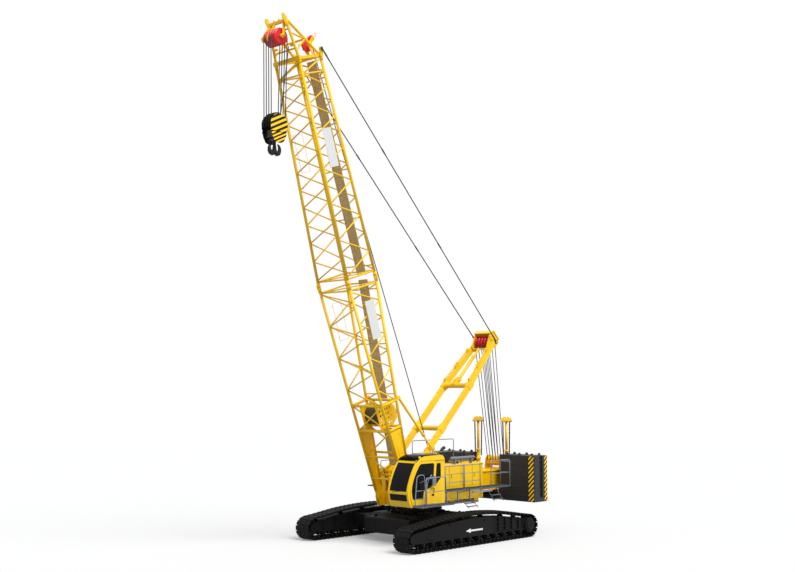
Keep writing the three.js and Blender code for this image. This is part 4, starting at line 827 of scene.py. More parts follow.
ballast = finish("ballast_dark_grey", (48, 49, 51), 0.6, 0.0, 0.08, 25, 0.006, 0.0)
# Painted shade: near-black for the seams between slabs and the back of each slot, where these
# recesses fall dark.
recess_painted_shade = finish("recess_painted_shade_black", (24, 24, 25), 0.6, 0.0, 0.15)
stripe_front = stripes_with_painted_glow("stripes_front_painted_glow", "Y", -1.0)
stripe_side = stripes_with_painted_glow("stripes_side_painted_glow", "X", 1.0)
stack = Work()
x0, x1, y0, y1 = -5.34, -4.34, 1.0, 3.0
slot0, slot1 = -4.96, -4.72
band_low, band_high = 1.43, 3.44
plan = [
    (x0 + 0.03, y0), (x1 - 0.03, y0), (x1, y0 + 0.03), (x1, y1 - 0.05), (x1 - 0.05, y1),
    (slot1, y1), (slot1, y1 - 0.09), (slot0, y1 - 0.09), (slot0, y1), (x0 + 0.05, y1),
    (x0, y1 - 0.05), (x0, y0 + 0.03),
]
seams = [1.602, 2.02, 2.5, 2.98, 3.45]
for low, high in zip(seams, seams[1:]):
    stack.prism(plan, low + 0.004, high - 0.004, axis="z")
    # A black sheet in each seam between slabs is painted shade.
    stack.use(1).brick(x0 + 0.02, x1 - 0.02, y0 + 0.02, y1 - 0.12, low - 0.004, low + 0.006)
    stack.use(0)
    for x in (x0 + 0.16, x1 - 0.16):
        stack.disc(x, high - 0.12, y1 - 0.01, y1 + 0.006, 0.02, 12)
for x in (x0 + 0.23, x1 - 0.23):
    for y in (y0 + 0.3, (y0 + y1) / 2, y1 - 0.3):
        stack.prism(
            [
                (x - 0.09, 3.44), (x + 0.09, 3.44), (x + 0.06, 3.52), (x + 0.03, 3.545),
                (x - 0.03, 3.545), (x - 0.06, 3.52),
            ],
            y - 0.022, y + 0.022, [six_hole(x, 3.5, 0.022)],
        )
# The slot's back wall and its handles are black: painted shade in the recess.
stack.use(1)
stack.brick(slot0 + 0.02, slot1 - 0.02, y1 - 0.095, y1 - 0.07, 1.7, 3.4)
for z in (1.9, 2.25, 2.62, 2.95, 3.2):
    stack.brick(slot0 + 0.05, slot1 - 0.05, y1 - 0.09, y1 - 0.035, z, z + 0.09)
stack.use(2)
stack.prism(
    [(2.69, band_low), (2.965, band_low), (2.965, band_high), (2.69, band_high)],
    x1 + 0.001, x1 + 0.004, axis="x",
)
stack.use(3)
stack.prism(
    [(-5.295, band_low), (-5.10, band_low), (-5.10, band_high), (-5.295, band_high)],
    y1 + 0.001, y1 + 0.004,
)
stack_finish = [ballast, recess_painted_shade, stripe_front, stripe_side]
stack.make(
    "left_ballast_slabs", stack_finish, "upperworks", ["left_counterweight_stack"], "ballast_grey",
    0.012,
)
stack.mirrored().make(
    "right_ballast_slabs", stack_finish, "upperworks", ["right_counterweight_stack"],
    "ballast_grey", 0.012,
)
tray = Work()
tray.prism(
    [
        (x0 + 0.03, -3.0), (x1 - 0.03, -3.0), (x1, -2.95), (x1, 2.95), (x1 - 0.03, 3.0),
        (x0 + 0.03, 3.0), (x0, 2.95), (x0, -2.95),
    ],
    1.41, 1.5985, axis="z",
)
tray.brick(-5.14, -4.54, -0.5, 0.5, 1.59, 1.8495)
for y in (-0.45, 0.0, 0.45):
    tray.prism([(-5.25, 1.598), (-4.43, 1.598), (-4.56, 1.78), (-5.12, 1.78)], y - 0.02, y + 0.02)
for side in (-1, 1):
    for x in (-5.2, -4.48):
        tray.bolt((x, side * 0.75, 1.598), (0, 0, 1), 0.03, 0.025)
    tray.disc(-4.62, 1.5, side * 2.99, side * 3.006, 0.05, 20)
tray.make("ballast_tray", [ballast], "upperworks", ["counterweight_tray"], "ballast_grey", 0.01)


# ---------------------------------------------------------------- counterweight lifting cylinders
# A hydraulic post stands each side of the rear beam under a half-round head plate.
# Short dark chains hang from both ends of each head and lift the ballast tray.
def circle(x, z, r, n):
    return [
        (x + r * math.cos(2 * math.pi * k / n), z + r * math.sin(2 * math.pi * k / n))
        for k in range(n)
    ]


post_x, post_y = -5.08, 0.85
post = Work()
post.brick(-5.24, -4.92, 0.703, 0.9, 2.19, 2.5)
post.rod((post_x, post_y, 2.18), (post_x, post_y, 2.26), 0.15, sides=28)
post.turned(
    (post_x, post_y, 2.2), (post_x, post_y, 3.6),
    [
        (0, 0.1), (0.66, 0.1), (0.67, 0.125), (0.72, 0.125), (0.73, 0.085), (0.96, 0.085),
        (0.965, 0.1), (1, 0.1),
    ],
    32,
)
post.rod((post_x, post_y, 3.58), (post_x, post_y, 4.93), 0.06, sides=28)
rim = [
    (post_x + 0.29 * math.cos(math.pi * k / 16), 4.9 + 0.23 * math.sin(math.pi * k / 16))
    for k in range(17)
]
eyes = [circle(x, z, 0.035, 12) for x, z in ((-5.24, 4.97), (-4.92, 4.97), (post_x, 5.04))]
for y in (0.73, 0.93):
    post.prism(rim, y, y + 0.03, eyes)
post.prism([(-5.37, 4.9), (-4.79, 4.9), (-4.79, 4.93), (-5.37, 4.93)], 0.73, 0.96)
for x in (-5.32, -4.84, post_x):
    post.rod((x, 0.72, 4.95), (x, 0.97, 4.95), 0.022, sides=12)
    post.bolt((x, 0.97, 4.95), (0, 1, 0), 0.034, 0.016)
post.use(1)
for end in (-1, 1):
    for k in range(26):
        z = 4.88 - 0.062 * k
        x = post_x + end * (0.25 - 0.0015 * k)
        wide = (1, 0) if k % 2 else (0, 1)
        loop = []
        for j in range(10):
            w = 2 * math.pi * j / 10
            off = 0.026 * math.cos(w)
            loop.append((x + off * wide[0], 0.845 + off * wide[1], z + 0.042 * math.sin(w)))
        post.pipe(loop, 0.015, 5, loop=True)
chain = finish("chain_dark", (38, 38, 42), 0.45, 0.7, 0.2, 90, 0.003)
post.make("left_lift_post", [yellow, chain], "upperworks", ["left_lift_cylinder"], "crane_yellow")
post.mirrored().make(
    "right_lift_post", [yellow, chain], "upperworks", ["right_lift_cylinder"], "crane_yellow"
)


# ---------------------------------------------------------------- luffing sheave block
# Five cast sheaves turn on one shaft between yellow cheek plates on the end of the rear beam. They
# take the many parts of the luffing rope that come down from the mast head; all of it is yellow.
def sheave_row(work, x, z, ys, r, shaft, width=0.06):
    """A row of grooved sheaves with webs and hubs, on an axis along Y."""
    for y in ys:
        half = width / 2
        ring = [
            (0, shaft + 0.02), (0, r * 0.72), (0.02, r), (0.2, r), (0.5, r - 0.028), (0.8, r),
            (0.98, r), (1, r * 0.72), (1, shaft + 0.02),
        ]
        work.turned((x, y - half, z), (x, y + half, z), ring, 40)
        work.turned(
            (x, y - half - 0.008, z), (x, y + half + 0.008, z),
            [(0, r * 0.8), (0.1, r * 0.86), (0.9, r * 0.86), (1, r * 0.8)],
            40,
        )
    low, high = min(ys) - width / 2 - 0.012, max(ys) + width / 2 + 0.012
    work.turned(
        (x, low, z), (x, high, z),
        [
            (0, shaft + 0.001), (0, shaft + 0.045), (0.03, shaft + 0.06), (0.97, shaft + 0.06),
            (1, shaft + 0.045), (1, shaft + 0.001),
        ],
        32,
    )


def half_circle(x, z, r, n):
    return [
        (x + r * math.cos(math.pi * k / n), z + r * math.sin(math.pi * k / n))
        for k in range(n + 1)
    ]


luff_x, luff_z = -5.33, 3.08
red = finish("sheave_red_gloss", (222, 26, 40), 0.35, 0.0, 0.08, 60, 0.003, 0.3)
block = Work()
block.brick(-5.63, -5.03, -0.44, 0.44, 2.7205, 2.77)
for y in (-0.44, 0.41):
    arc = half_circle(luff_x, luff_z, 0.25, 16)
    block.prism([(-5.61, 2.76), (-5.05, 2.76)] + arc, y, y + 0.03)
    for x in (-5.55, -5.11):
        block.prism(
            [(x - 0.015, 2.76), (x + 0.015, 2.76), (x + 0.015, 2.9), (x - 0.015, 2.9)],
            min(y, y * 1.12), max(y + 0.03, (y + 0.03) * 1.12),
        )
block.rod((luff_x, -0.47, luff_z), (luff_x, 0.47, luff_z), 0.058, sides=24)
for side in (-1, 1):
    block.turned(
        (luff_x, side * 0.44, luff_z), (luff_x, side * 0.475, luff_z),
        [(0, 0.11), (0.7, 0.11), (1, 0.09)], 24,
    )
    block.pipe(
        [(-5.55, side * 0.425, 3.2), (-5.45, side * 0.425, 3.33), (luff_x, side * 0.425, 3.335)],
        0.012, 6, bend=0.05,
    )
for x in (-5.6, -5.06):
    block.rod((x, -0.43, 3.0), (x, 0.43, 3.0), 0.02, sides=12)
block.make(
    "luffing_block_cheeks", [yellow], "upperworks", ["luffing_sheave_block"], "crane_yellow", 0.004
)
low_sheaves = Work()
sheave_row(low_sheaves, luff_x, luff_z, [-0.32, -0.16, 0, 0.16, 0.32], 0.23, 0.06)
low_sheaves.make(
    "luffing_block_wheels", [yellow], "luffing_block_sheaves", ["luffing_block_sheaves"],
    "sheave_red",
)


# ---------------------------------------------------------------- machinery housings
# Sheet-steel housings with hinged doors, louvres and lift-off covers stand each side of the
# winches. Gloss yellow outside; the engine with its pipes and exhaust stands under the right-hand
# one.
dark_metal = finish("engine_dark", (52, 53, 55), 0.55, 0.3, 0.2, 40, 0.006)
grey_tube = finish("grey_tube", (128, 134, 142), 0.35, 0.4, 0.08, 80, 0.002)
left_side = Work()
left_side.brick(-2.78, 0.56, 1.0, 1.34, 1.652, 3.15)
for a, b in ((-2.74, -2.06), (-2.04, -1.30), (-1.28, -0.54), (-0.52, 0.12)):
    left_side.brick(a, b, 1.335, 1.352, 2.24, 3.09)
    for z in (2.36, 2.96):
        left_side.rod((a + 0.03, 1.357, z - 0.05), (a + 0.03, 1.357, z + 0.05), 0.011, sides=8)
    left_side.use(1).pipe(
        [(b - 0.1, 1.35, 2.6), (b - 0.1, 1.38, 2.6), (b - 0.1, 1.38, 2.74), (b - 0.1, 1.35, 2.74)],
        0.008, 6, bend=0.01,
    )
    left_side.use(0)
for a, b in ((-2.6, -1.7), (-1.5, -0.6), (-0.4, 0.4)):
    left_side.brick(a, b, 1.335, 1.348, 1.74, 2.06)
for k in range(7):
    left_side.beam((0.17, 1.35, 2.4 + 0.08 * k), (0.5, 1.35, 2.4 + 0.08 * k), 0.03, 0.012)
left_side.brick(-2.82, 0.58, 0.98, 1.37, 3.13, 3.165)
left_side.use(1)
left_side.brick(-2.77, 0.55, 1.338, 1.343, 3.095, 3.13)
for a in (-2.05, -1.29, -0.53):
    left_side.brick(a - 0.009, a + 0.009, 1.338, 1.343, 2.24, 3.09)
left_side.use(0)
for x in (-2.5, -1.4, -0.3):
    left_side.prism(
        [(x - 0.06, 3.15), (x + 0.06, 3.15), (x + 0.03, 3.25), (x - 0.03, 3.25)], 1.16, 1.185
    )
left_side.use(2)
for z, y in ((3.30, 1.08), (3.43, 1.16)):
    left_side.turned(
        (-2.42, y, z), (-0.82, y, z),
        [(0, 0.03), (0.01, 0.052), (0.03, 0.058), (0.97, 0.058), (0.99, 0.052), (1, 0.03)],
        24,
    )
for x in (-2.2, -1.1):
    left_side.brick(x - 0.02, x + 0.02, 1.05, 1.2, 3.15, 3.5)
left_side.use(1)
for k in range(4):
    left_side.pipe(
        [
            (-2.78, 1.1 + 0.05 * k, 2.5), (-3.0, 1.08, 2.4 - 0.08 * k),
            (-3.1, 0.9, 2.2 - 0.08 * k), (-3.12, 0.72, 2.1 - 0.05 * k),
        ],
        0.018, 8, bend=0.15,
    )
left_side.make(
    "left_side_housing", [yellow, hose_black, grey_tube], "upperworks", ["left_machinery_housing"],
    "crane_yellow", 0.004,
)

right_side = Work()
right_side.brick(-4.15, 0.56, -2.05, -1.0, 2.90, 2.9297)
right_side.brick(-4.15, -4.12, -2.05, -1.0, 1.652, 2.92)
right_side.brick(0.53, 0.56, -2.05, -1.0, 1.652, 2.92)
right_side.brick(-4.15, 0.56, -1.03, -1.0, 1.652, 2.92)
right_side.brick(-4.15, 0.56, -2.05, -2.02, 1.652, 2.92)
for k in range(6):
    a = -4.1 + 0.77 * k
    right_side.brick(a, a + 0.74, -2.065, -2.045, 2.2, 2.86)
    right_side.brick(a, a + 0.74, -2.06, -2.045, 1.7, 2.15)
    right_side.use(1).pipe(
        [
            (a + 0.66, -2.065, 2.45), (a + 0.66, -2.1, 2.45), (a + 0.66, -2.1, 2.6),
            (a + 0.66, -2.065, 2.6),
        ],
        0.008, 6, bend=0.01,
    )
    right_side.use(0)
    if k in (1, 2, 4):
        for j in range(6):
            right_side.beam(
                (a + 0.08, -2.07, 2.3 + 0.08 * j), (a + 0.55, -2.07, 2.3 + 0.08 * j), 0.03, 0.014
            )
for a in (-3.9, -2.9, -1.9, -0.9, 0.0):
    right_side.brick(a, a + 0.5, -1.9, -1.15, 2.92, 2.945)
for j in range(9):
    right_side.brick(-4.165, -4.145, -1.9, -1.15, 1.9 + 0.09 * j, 1.94 + 0.09 * j)
right_side.use(3)
right_side.turned(
    (-3.4, -1.7, 2.93), (-3.4, -1.7, 3.42), [(0, 0.13), (0.1, 0.13), (0.12, 0.09), (1, 0.09)], 24
)
right_side.pipe(
    [(-3.4, -1.7, 3.38), (-3.4, -1.7, 3.55), (-3.52, -1.7, 3.66), (-3.62, -1.7, 3.68)],
    0.075, 20, bend=0.1,
)
right_side.make(
    "right_side_housing", [yellow, hose_black, grey_tube, dark_metal], "upperworks",
    ["right_machinery_housing"], "crane_yellow", 0.004,
)

engine = Work()
engine.brick(-2.9, -1.1, -1.8, -1.12, 1.652, 1.8)
engine.brick(-2.75, -1.35, -1.7, -1.2, 1.78, 2.35)
engine.prism([(-2.7, 2.33), (-1.4, 2.33), (-1.45, 2.6), (-2.65, 2.6)], -1.6, -1.3)
for k in range(6):
    x = -2.6 + 0.2 * k
    engine.turned((x, -1.45, 2.58), (x, -1.45, 2.69), [(0, 0.07), (0.6, 0.07), (1, 0.04)], 16)
    engine.pipe([(x, -1.3, 2.45), (x, -1.2, 2.45), (x - 0.04, -1.14, 2.35)], 0.03, 10, bend=0.05)
engine.rod((-2.8, -1.14, 2.3), (-1.5, -1.14, 2.3), 0.05, sides=16)
engine.turned((-1.3, -1.45, 2.1), (-1.12, -1.45, 2.1), [(0, 0.36), (0.6, 0.38), (1, 0.34)], 32)
engine.turned(
    (-2.5, -1.82, 2.45), (-1.7, -1.82, 2.45), [(0, 0.08), (0.05, 0.1), (0.95, 0.1), (1, 0.08)], 24
)
engine.make("diesel_engine", [dark_metal], "upperworks", ["engine_block"], "engine_grey", 0.008)


# ---------------------------------------------------------------- winches
# Two planetary winches stand in line between the housings, each drum wound with layers of wire
# rope. The drum flanges and the cheeks are yellow, and the rope is dark oiled steel.
def wound_drum(work, x, z, half, barrel, flange, holes=0):
    """A drum with two flanges; finish 0 is paint and 1 is wound rope."""
    work.use(1)
    turns = int((2 * half - 0.08) / 0.028)
    profile = [(0, barrel * 0.6)]
    for k in range(turns):
        t0 = (k + 0.5) / turns
        profile += [
            (t0 - 0.3 / turns, barrel - 0.009), (t0, barrel), (t0 + 0.3 / turns, barrel - 0.009)
        ]
    profile.append((1, barrel * 0.6))
    work.turned((x, -half + 0.03, z), (x, half - 0.03, z), profile, 32)
    work.use(0)
    ring = circle(x, z, flange, 40)
    cut = []
    for count, r, q in ((12, flange * 0.84, flange * 0.055), (8, flange * 0.62, flange * 0.055)):
        for j in range(count if holes else 0):
            w = 2 * math.pi * j / count
            cut.append(circle(x + r * math.cos(w), z + r * math.sin(w), q, 8))
    for y in (-half, half - 0.03):
        work.prism(ring, y, y + 0.03, cut)
    for side in (-1, 1):
        work.turned(
            (x, side * half, z), (x, side * (half + 0.069), z),
            [(0, flange * 0.42), (0.06, flange * 0.42), (0.1, 0.059), (1, 0.059)],
            32,
        )


winch_rope = finish("wound_rope", (58, 57, 55), 0.45, 0.7, 0.2, 150, 0.004)
for name, node, x, z in (
    ("hoist_drum_wound", "hoist_winch_drum", -1.43, 2.61),
    ("luffing_drum_wound", "luffing_winch_drum", -0.33, 2.57),
):
    drum = Work()
    wound_drum(drum, x, z, 0.42, 0.33, 0.43)
    drum.make(name, [yellow, winch_rope], node, [node], "crane_yellow")
winch = Work()
winch.brick(-1.76, 0.0, -0.48, 0.48, 2.0505, 2.09)
for x, z in ((-1.43, 2.61), (-0.33, 2.57)):
    for side in (-1, 1):
        y = (0.433, 0.481) if side > 0 else (-0.481, -0.433)
        arc = half_circle(x, z, 0.155, 12)
        hole = circle(x, z, 0.0625, 24)
        winch.prism([(x - 0.33, 2.06), (x + 0.33, 2.06)] + arc, y[0], y[1], [hole])
        for bx in (-0.27, 0.27):
            winch.bolt((x + bx, side * 0.455, 2.09), (0, 0, 1), 0.02, 0.02)
winch.make("winch_cheeks", [yellow], "upperworks", ["winch_frame"], "crane_yellow", 0.004)


# ---------------------------------------------------------------- walkways and handrails
# Bolted platforms of open bar grating run along both sides, with bent tube handrails and short
# ladders. All of it is galvanised or grey painted tube and flat bar.
rail_grey = finish("rail_blue_grey", (136, 146, 160), 0.42, 0.25, 0.06, 60, 0.003)
grate_grey = finish("grating_grey", (104, 112, 124), 0.5, 0.35, 0.1, 60, 0.004)


def grating(work, x0, x1, y0, y1, z, thick=0.05):
    """A framed panel of bar grating; finish 1 is its metal."""
    work.use(1)
    for x in (x0, x1 - 0.012):
        work.brick(x, x + 0.012, y0, y1, z, z + thick)
    for y in (y0, y1 - 0.012):
        work.brick(x0, x1, y, y + 0.012, z, z + thick)
    n = int((x1 - x0) / 0.055)
    for k in range(1, n):
        x = x0 + (x1 - x0) * k / n
        work.brick(x - 0.004, x + 0.004, y0, y1, z + thick - 0.03, z + thick - 0.002)
    m = max(2, int((y1 - y0) / 0.11))
    for k in range(1, m):
        y = y0 + (y1 - y0) * k / m
        work.brick(x0, x1, y - 0.004, y + 0.004, z + thick - 0.014, z + thick - 0.004)
    work.use(0)


def guard(work, x0, x1, y, z0, z1, posts=1, mids=1, r=0.02):
    """A bent-tube handrail with its middle rails, posts and foot plates."""
    work.pipe([(x0, y, z0), (x0, y, z1), (x1, y, z1), (x1, y, z0)], r, 10, bend=0.09)
    for k in range(mids):
        z = z0 + (z1 - z0) * (k + 1) / (mids + 1)
        work.rod((x0, y, z), (x1, y, z), r * 0.8, sides=10)
    for k in range(1, posts):
        x = x0 + (x1 - x0) * k / posts
        work.rod((x, y, z0), (x, y, z1), r, sides=10)
    for x in (x0, x1):
        work.brick(x - 0.035, x + 0.035, y - 0.035, y + 0.035, z0, z0 + 0.012)


def ladder(work, x0, x1, y, z0, z1, rungs):
    for x in (x0, x1):
        work.beam((x, y - 0.12, z1), (x, y + 0.16, z0), 0.03, 0.012, (1, 0, 0))
    for k in range(rungs):
        t = (k + 0.5) / rungs
        yy, zz = y + 0.16 - 0.28 * t, z0 + (z1 - z0) * t
        work.brick(x0, x1, yy - 0.07, yy + 0.07, zz - 0.012, zz + 0.012)


walk = Work()
grating(walk, -3.85, 0.56, 1.345, 2.06, 2.11)
grating(walk, -1.15, 0.56, 2.0, 2.42, 1.6515)
for x in (0.42, -1.08, -2.6, -3.7):
    walk.beam((x, 1.35, 1.95 if x > -2 else 2.0), (x, 2.04, 2.11), 0.03, 0.07)
for x in (0.42, -0.3, -1.08):
    walk.brick(x - 0.02, x + 0.02, 2.0, 2.06, 1.652, 2.12)
guard(walk, -0.64, 0.52, 2.04, 2.16, 3.19, 1, 2)
guard(walk, -1.76, -0.72, 2.04, 2.16, 3.19, 1, 2)
guard(walk, -3.82, -2.5, 2.04, 2.16, 3.29, 1, 1)
walk.pipe([(-3.82, 2.04, 3.2), (-3.82, 1.5, 3.2), (-3.82, 1.5, 2.16)], 0.02, 10, bend=0.08)
walk.rod((-3.82, 2.04, 2.72), (-3.82, 1.5, 2.72), 0.016, sides=10)
walk.use(1)
ladder(walk, -1.05, -0.45, 2.36, 1.42, 1.66, 2)
ladder(walk, -2.95, -2.35, 2.2, 1.56, 1.9, 2)
walk.use(0)
for x in (-2.95, -2.35):
    walk.rod((x, 2.08, 1.88), (x, 2.04, 2.12), 0.018, sides=8)
walk.brick(-2.5, -1.2, 2.05, 2.12, 1.98, 2.05)
walk.make(
    "left_grating_walkway", [rail_grey, grate_grey], "upperworks", ["left_walkway"], "rail_grey"
)
far_walk = Work()
grating(far_walk, -4.15, 0.56, -2.57, -2.055, 2.11)
guard(far_walk, -4.12, -1.82, -2.55, 2.16, 3.2, 2, 1)
guard(far_walk, -1.76, -0.25, -2.55, 2.16, 3.2, 2, 1)
for x in (-3.8, -2.0, -0.2):
    far_walk.beam((x, -2.06, 1.95), (x, -2.55, 2.11), 0.03, 0.07)
far_walk.make(
    "right_grating_walkway", [rail_grey, grate_grey], "upperworks", ["right_walkway"], "rail_grey"
)
roof_rail = Work()
roof_rail.brick(-4.1, -1.2, -1.56, -1.48, 2.9305, 2.942)
guard(roof_rail, -4.06, -2.7, -1.52, 2.94, 4.08, 1, 1)
guard(roof_rail, -2.6, -1.24, -1.52, 2.94, 4.08, 1, 1)
roof_rail.make("roof_guard_rail", [rail_grey], "upperworks", ["roof_handrail"], "rail_grey")
step = Work()
grating(step, 0.57, 2.64, 2.182, 2.60, 1.6515)
guard(step, 1.06, 2.26, 2.57, 1.70, 2.83, 1, 1)
step.brick(0.6, 2.62, 2.19, 2.23, 1.70, 1.73)
step.make("cab_side_walkway", [rail_grey, grate_grey], "upperworks", ["cab_walkway"], "rail_grey")


# ---------------------------------------------------------------- cab
# The cab is a pressed-steel shell with a curved front, rounded pillars and dark tinted panes bonded
# into it. Gloss yellow outside; the door slides back along a rail over it, and the roof front is
# one more dark pane.
def tinted(name, tone, clear):
    made = finish(name, tone, 0.07, 0.0, 0.15, 12, 0.0005)
    bsdf = made.node_tree.nodes["Principled BSDF"]
    bsdf.inputs["Alpha"].default_value = 1 - clear
    bsdf.inputs["Specular IOR Level"].default_value = 0.1
    return made


glass = tinted("tinted_glass_dark", (15, 16, 19), 0.08)
roof_tint = tinted("roof_glass_dark", (10, 10, 13), 0.06)
specular(roof_tint, 0.03)
rubber = finish("window_rubber", (20, 20, 21), 0.7, 0.0, 0.1, 90, 0.002)
profile = [
    (2.74, 1.6503), (2.81, 1.78), (2.86, 1.90), (2.897, 2.06), (2.915, 2.17), (2.924, 2.23),
    (2.92, 2.29), (2.88, 2.48), (2.80, 2.70), (2.72, 2.88), (2.64, 3.04), (2.53, 3.23),
    (2.41, 3.41), (2.33, 3.50), (2.24, 3.575), (2.10, 3.64), (1.95, 3.68), (1.6, 3.692),
    (1.15, 3.697), (0.95, 3.70), (0.84, 3.68), (0.76, 3.63), (0.715, 3.56), (0.70, 3.47),
    (0.70, 3.33), (0.70, 2.60), (0.70, 1.6503),
]


def inward(points, distance):
    """The same outline moved square to itself, inward for a positive distance."""
    moved = []
    for i, p in enumerate(points):
        a, b = points[max(0, i - 1)], points[min(len(points) - 1, i + 1)]
        w = Vector((b[0] - a[0], b[1] - a[1])).normalized()
        moved.append((p[0] - w.y * distance, p[1] + w.x * distance))
    return moved


def skin(work, i, j, y0, y1, outer=0.0, inner=0.055):
    """A strip of the cab's shell along the profile points i to j."""
    a, b = inward(profile, outer)[i : j + 1], inward(profile, inner)[i : j + 1]
    work.prism(a + b[::-1], y0, y1)


door_edge = [
    (1.355, 1.74), (2.69, 1.74), (2.78, 2.0), (2.81, 2.25), (2.785, 2.42), (2.73, 2.62),
    (2.655, 2.82), (2.565, 3.01), (2.46, 3.18), (2.345, 3.34), (2.28, 3.42), (2.20, 3.475),
    (1.325, 3.475),
]
door_glass = [
    (1.44, 2.66), (1.49, 2.53), (1.58, 2.43), (1.72, 2.375), (1.95, 2.32), (2.01, 2.28),
    (2.04, 2.2), (2.07, 2.0), (2.12, 1.96), (2.61, 1.96), (2.68, 2.02), (2.735, 2.3), (2.71, 2.48),
    (2.65, 2.68), (2.56, 2.88), (2.45, 3.07), (2.34, 3.23), (2.27, 3.32), (2.18, 3.375),
    (1.45, 3.38), (1.40, 3.33),
]
quarter = [
    (0.935, 2.80), (0.98, 2.72), (1.18, 2.53), (1.24, 2.52), (1.28, 2.58), (1.20, 3.33),
    (1.16, 3.37), (0.98, 3.37), (0.945, 3.33),
]
door_hole = [
    (1.40, 1.79), (2.65, 1.79), (2.735, 2.02), (2.765, 2.25), (2.69, 2.60), (2.53, 2.98),
    (2.32, 3.29), (2.18, 3.43), (1.37, 3.43),
]
cab = Work()
cab.prism(profile, 1.03, 1.085, [quarter, door_glass])
cab.prism(profile, 2.125, 2.18, [quarter, door_hole])
cab.brick(0.70, 2.74, 1.08, 2.13, 1.6503, 1.71)
for i, j in ((0, 2), (4, 6), (12, 13), (19, 24), (25, 26)):
    skin(cab, i, j, 1.08, 2.13)
for i, j in ((2, 4), (6, 12), (13, 19), (24, 25)):
    for a, b in ((1.08, 1.13), (2.08, 2.13)):
        skin(cab, i, j, a, b)
cab.brick(0.75, 2.14, 2.175, 2.22, 3.50, 3.53)
cab.brick(1.33, 1.37, 2.178, 2.184, 1.72, 1.75)
cab.use(2)
for i, j in ((2, 4), (6, 12)):
    for a, b in ((1.125, 1.14), (2.07, 2.085)):
        skin(cab, i, j, a, b, 0.004, 0.04)
cab.use(1)
cab.pipe(
    [(2.925, 1.3, 2.235), (2.935, 1.32, 2.26), (2.925, 1.62, 2.29), (2.915, 1.9, 2.32)],
    0.009, 6, bend=0.02,
)
cab.use(0)
for y in (1.35, 1.86):
    skin(cab, 13, 18, y - 0.012, y + 0.012, -0.043, 0.03)
cab.use(3)
for y in (1.08, 2.13):
    cab.turned(
        (2.34, y, 3.5), (2.40, y, 3.505), [(0, 0.03), (0.3, 0.04), (0.9, 0.042), (1, 0.035)], 20
    )
cab.use(0)
cab.turned(
    (2.16, 2.11, 3.58), (2.16, 2.11, 3.68), [(0, 0.06), (0.3, 0.06), (0.9, 0.045), (1, 0.02)], 20
)
cab.make(
    "cab_body", [yellow, rubber, rubber, bare_steel], "upperworks", ["cab_shell"], "crane_yellow",
    0.018,
)


def crowned_sheet(work, span, crown=0.045, slices=16):
    """A closed sheet over part of the profile that bulges by crown at the middle of the cab."""
    crowned = []
    for k in range(slices + 1):
        t = 2 * k / slices - 1
        for depth in (-crown * (1 - t**4) - 0.002, 0.004):
            line = inward(profile, depth)
            crowned += [(line[n][0], 1.605 + 0.57 * t, line[n][1]) for n in span]
    count = len(span)
    shell = []
    for k in range(slices):
        for n in range(count - 1):
            a = 2 * count * k + n
            b = a + 2 * count
            shell.append((a, a + 1, b + 1, b))
            shell.append((a + count, b + count, b + count + 1, a + count + 1))
        a = 2 * count * k
        b = a + 2 * count
        shell.append((a, b, b + count, a + count))
        a, b = a + count - 1, b + count - 1
        shell.append((a, a + count, b + count, b))
    for n in range(count - 1):
        shell.append((n, n + count, n + count + 1, n + 1))
    for n in range(count - 1):
        a = 2 * count * slices + n
        shell.append((a, a + 1, a + count + 1, a + count))
    work.add(crowned, shell, True)


panes = (
    ("front_pane", "cab_windshield", 6, 12), ("low_front_pane", "cab_lower_window", 2, 4),
    ("roof_pane", "cab_roof_window", 13, 19), ("rear_pane", "cab_rear_window", 24, 25),
)
for name, node, i, j in panes:
    pane = Work()
    skin(pane, i, j, 1.13, 2.08, 0.006, 0.016)
    if name == "roof_pane":
        crowned_sheet(pane, range(13, 20))
    pane.make(
        name, [roof_tint if name == "roof_pane" else glass], "upperworks", [node], "tinted_glass"
    )
for name, node, shape, y, body in (
    ("right_side_pane", "cab_right_window", door_glass, 1.04, "upperworks"),
    ("right_quarter_pane", "cab_right_quarter_window", quarter, 1.04, "upperworks"),
    ("left_quarter_pane", "cab_left_quarter_window", quarter, 2.165, "upperworks"),
    ("door_pane", "cab_door_window", door_glass, 2.206, "cab_door"),
):
    pane = Work()
    pane.prism(shape, y, y + 0.006)
    pane.make(name, [glass], body, [node], "tinted_glass")
door = Work()
door.prism(door_edge, 2.1865, 2.216, [door_glass])
for x in (1.40, 1.95):
    door.brick(x, x + 0.15, 2.187, 2.212, 3.46, 3.4995)
door.use(1)
door.pipe([(x, 2.216, z) for x, z in door_glass], 0.009, 6, loop=True)
door.pipe(
    [(1.43, 2.216, 2.16), (1.43, 2.25, 2.16), (1.43, 2.25, 2.36), (1.43, 2.216, 2.36)],
    0.012, 8, bend=0.02,
)
door.brick(1.40, 1.55, 2.214, 2.222, 2.05, 2.13)
door.make("sliding_door", [yellow, rubber], "cab_door", ["cab_door"], "crane_yellow", 0.006)
outfit = Work()
outfit.pipe(
    [
        (2.68, 2.34, 1.70), (2.68, 2.38, 2.2), (2.62, 2.40, 2.94), (2.18, 2.40, 2.96),
        (2.1, 2.38, 2.2), (2.1, 2.34, 1.70),
    ],
    0.018, 10, bend=0.16,
)
outfit.pipe(
    [(2.06, 2.40, 1.72), (2.06, 2.42, 2.5), (2.04, 2.5, 2.76), (1.9, 2.56, 2.96)],
    0.018, 10, bend=0.14,
)
for z in (2.0, 2.32):
    outfit.rod((2.68, 2.385, z), (2.1, 2.385, z), 0.013, sides=8)
outfit.pipe([(2.3, 2.19, 2.60), (2.1, 2.36, 2.72), (1.66, 2.40, 2.80)], 0.012, 8, bend=0.08)
outfit.use(2)
outfit.prism(
    [
        (1.46, 2.50), (1.48, 2.48), (1.66, 2.48), (1.68, 2.50), (1.68, 2.84), (1.66, 2.86),
        (1.48, 2.86), (1.46, 2.84),
    ],
    2.36, 2.40,
)
outfit.make(
    "cab_grab_rails_and_mirror", [rail_grey, rubber, grey_tube], "upperworks", slot="rail_grey"
)


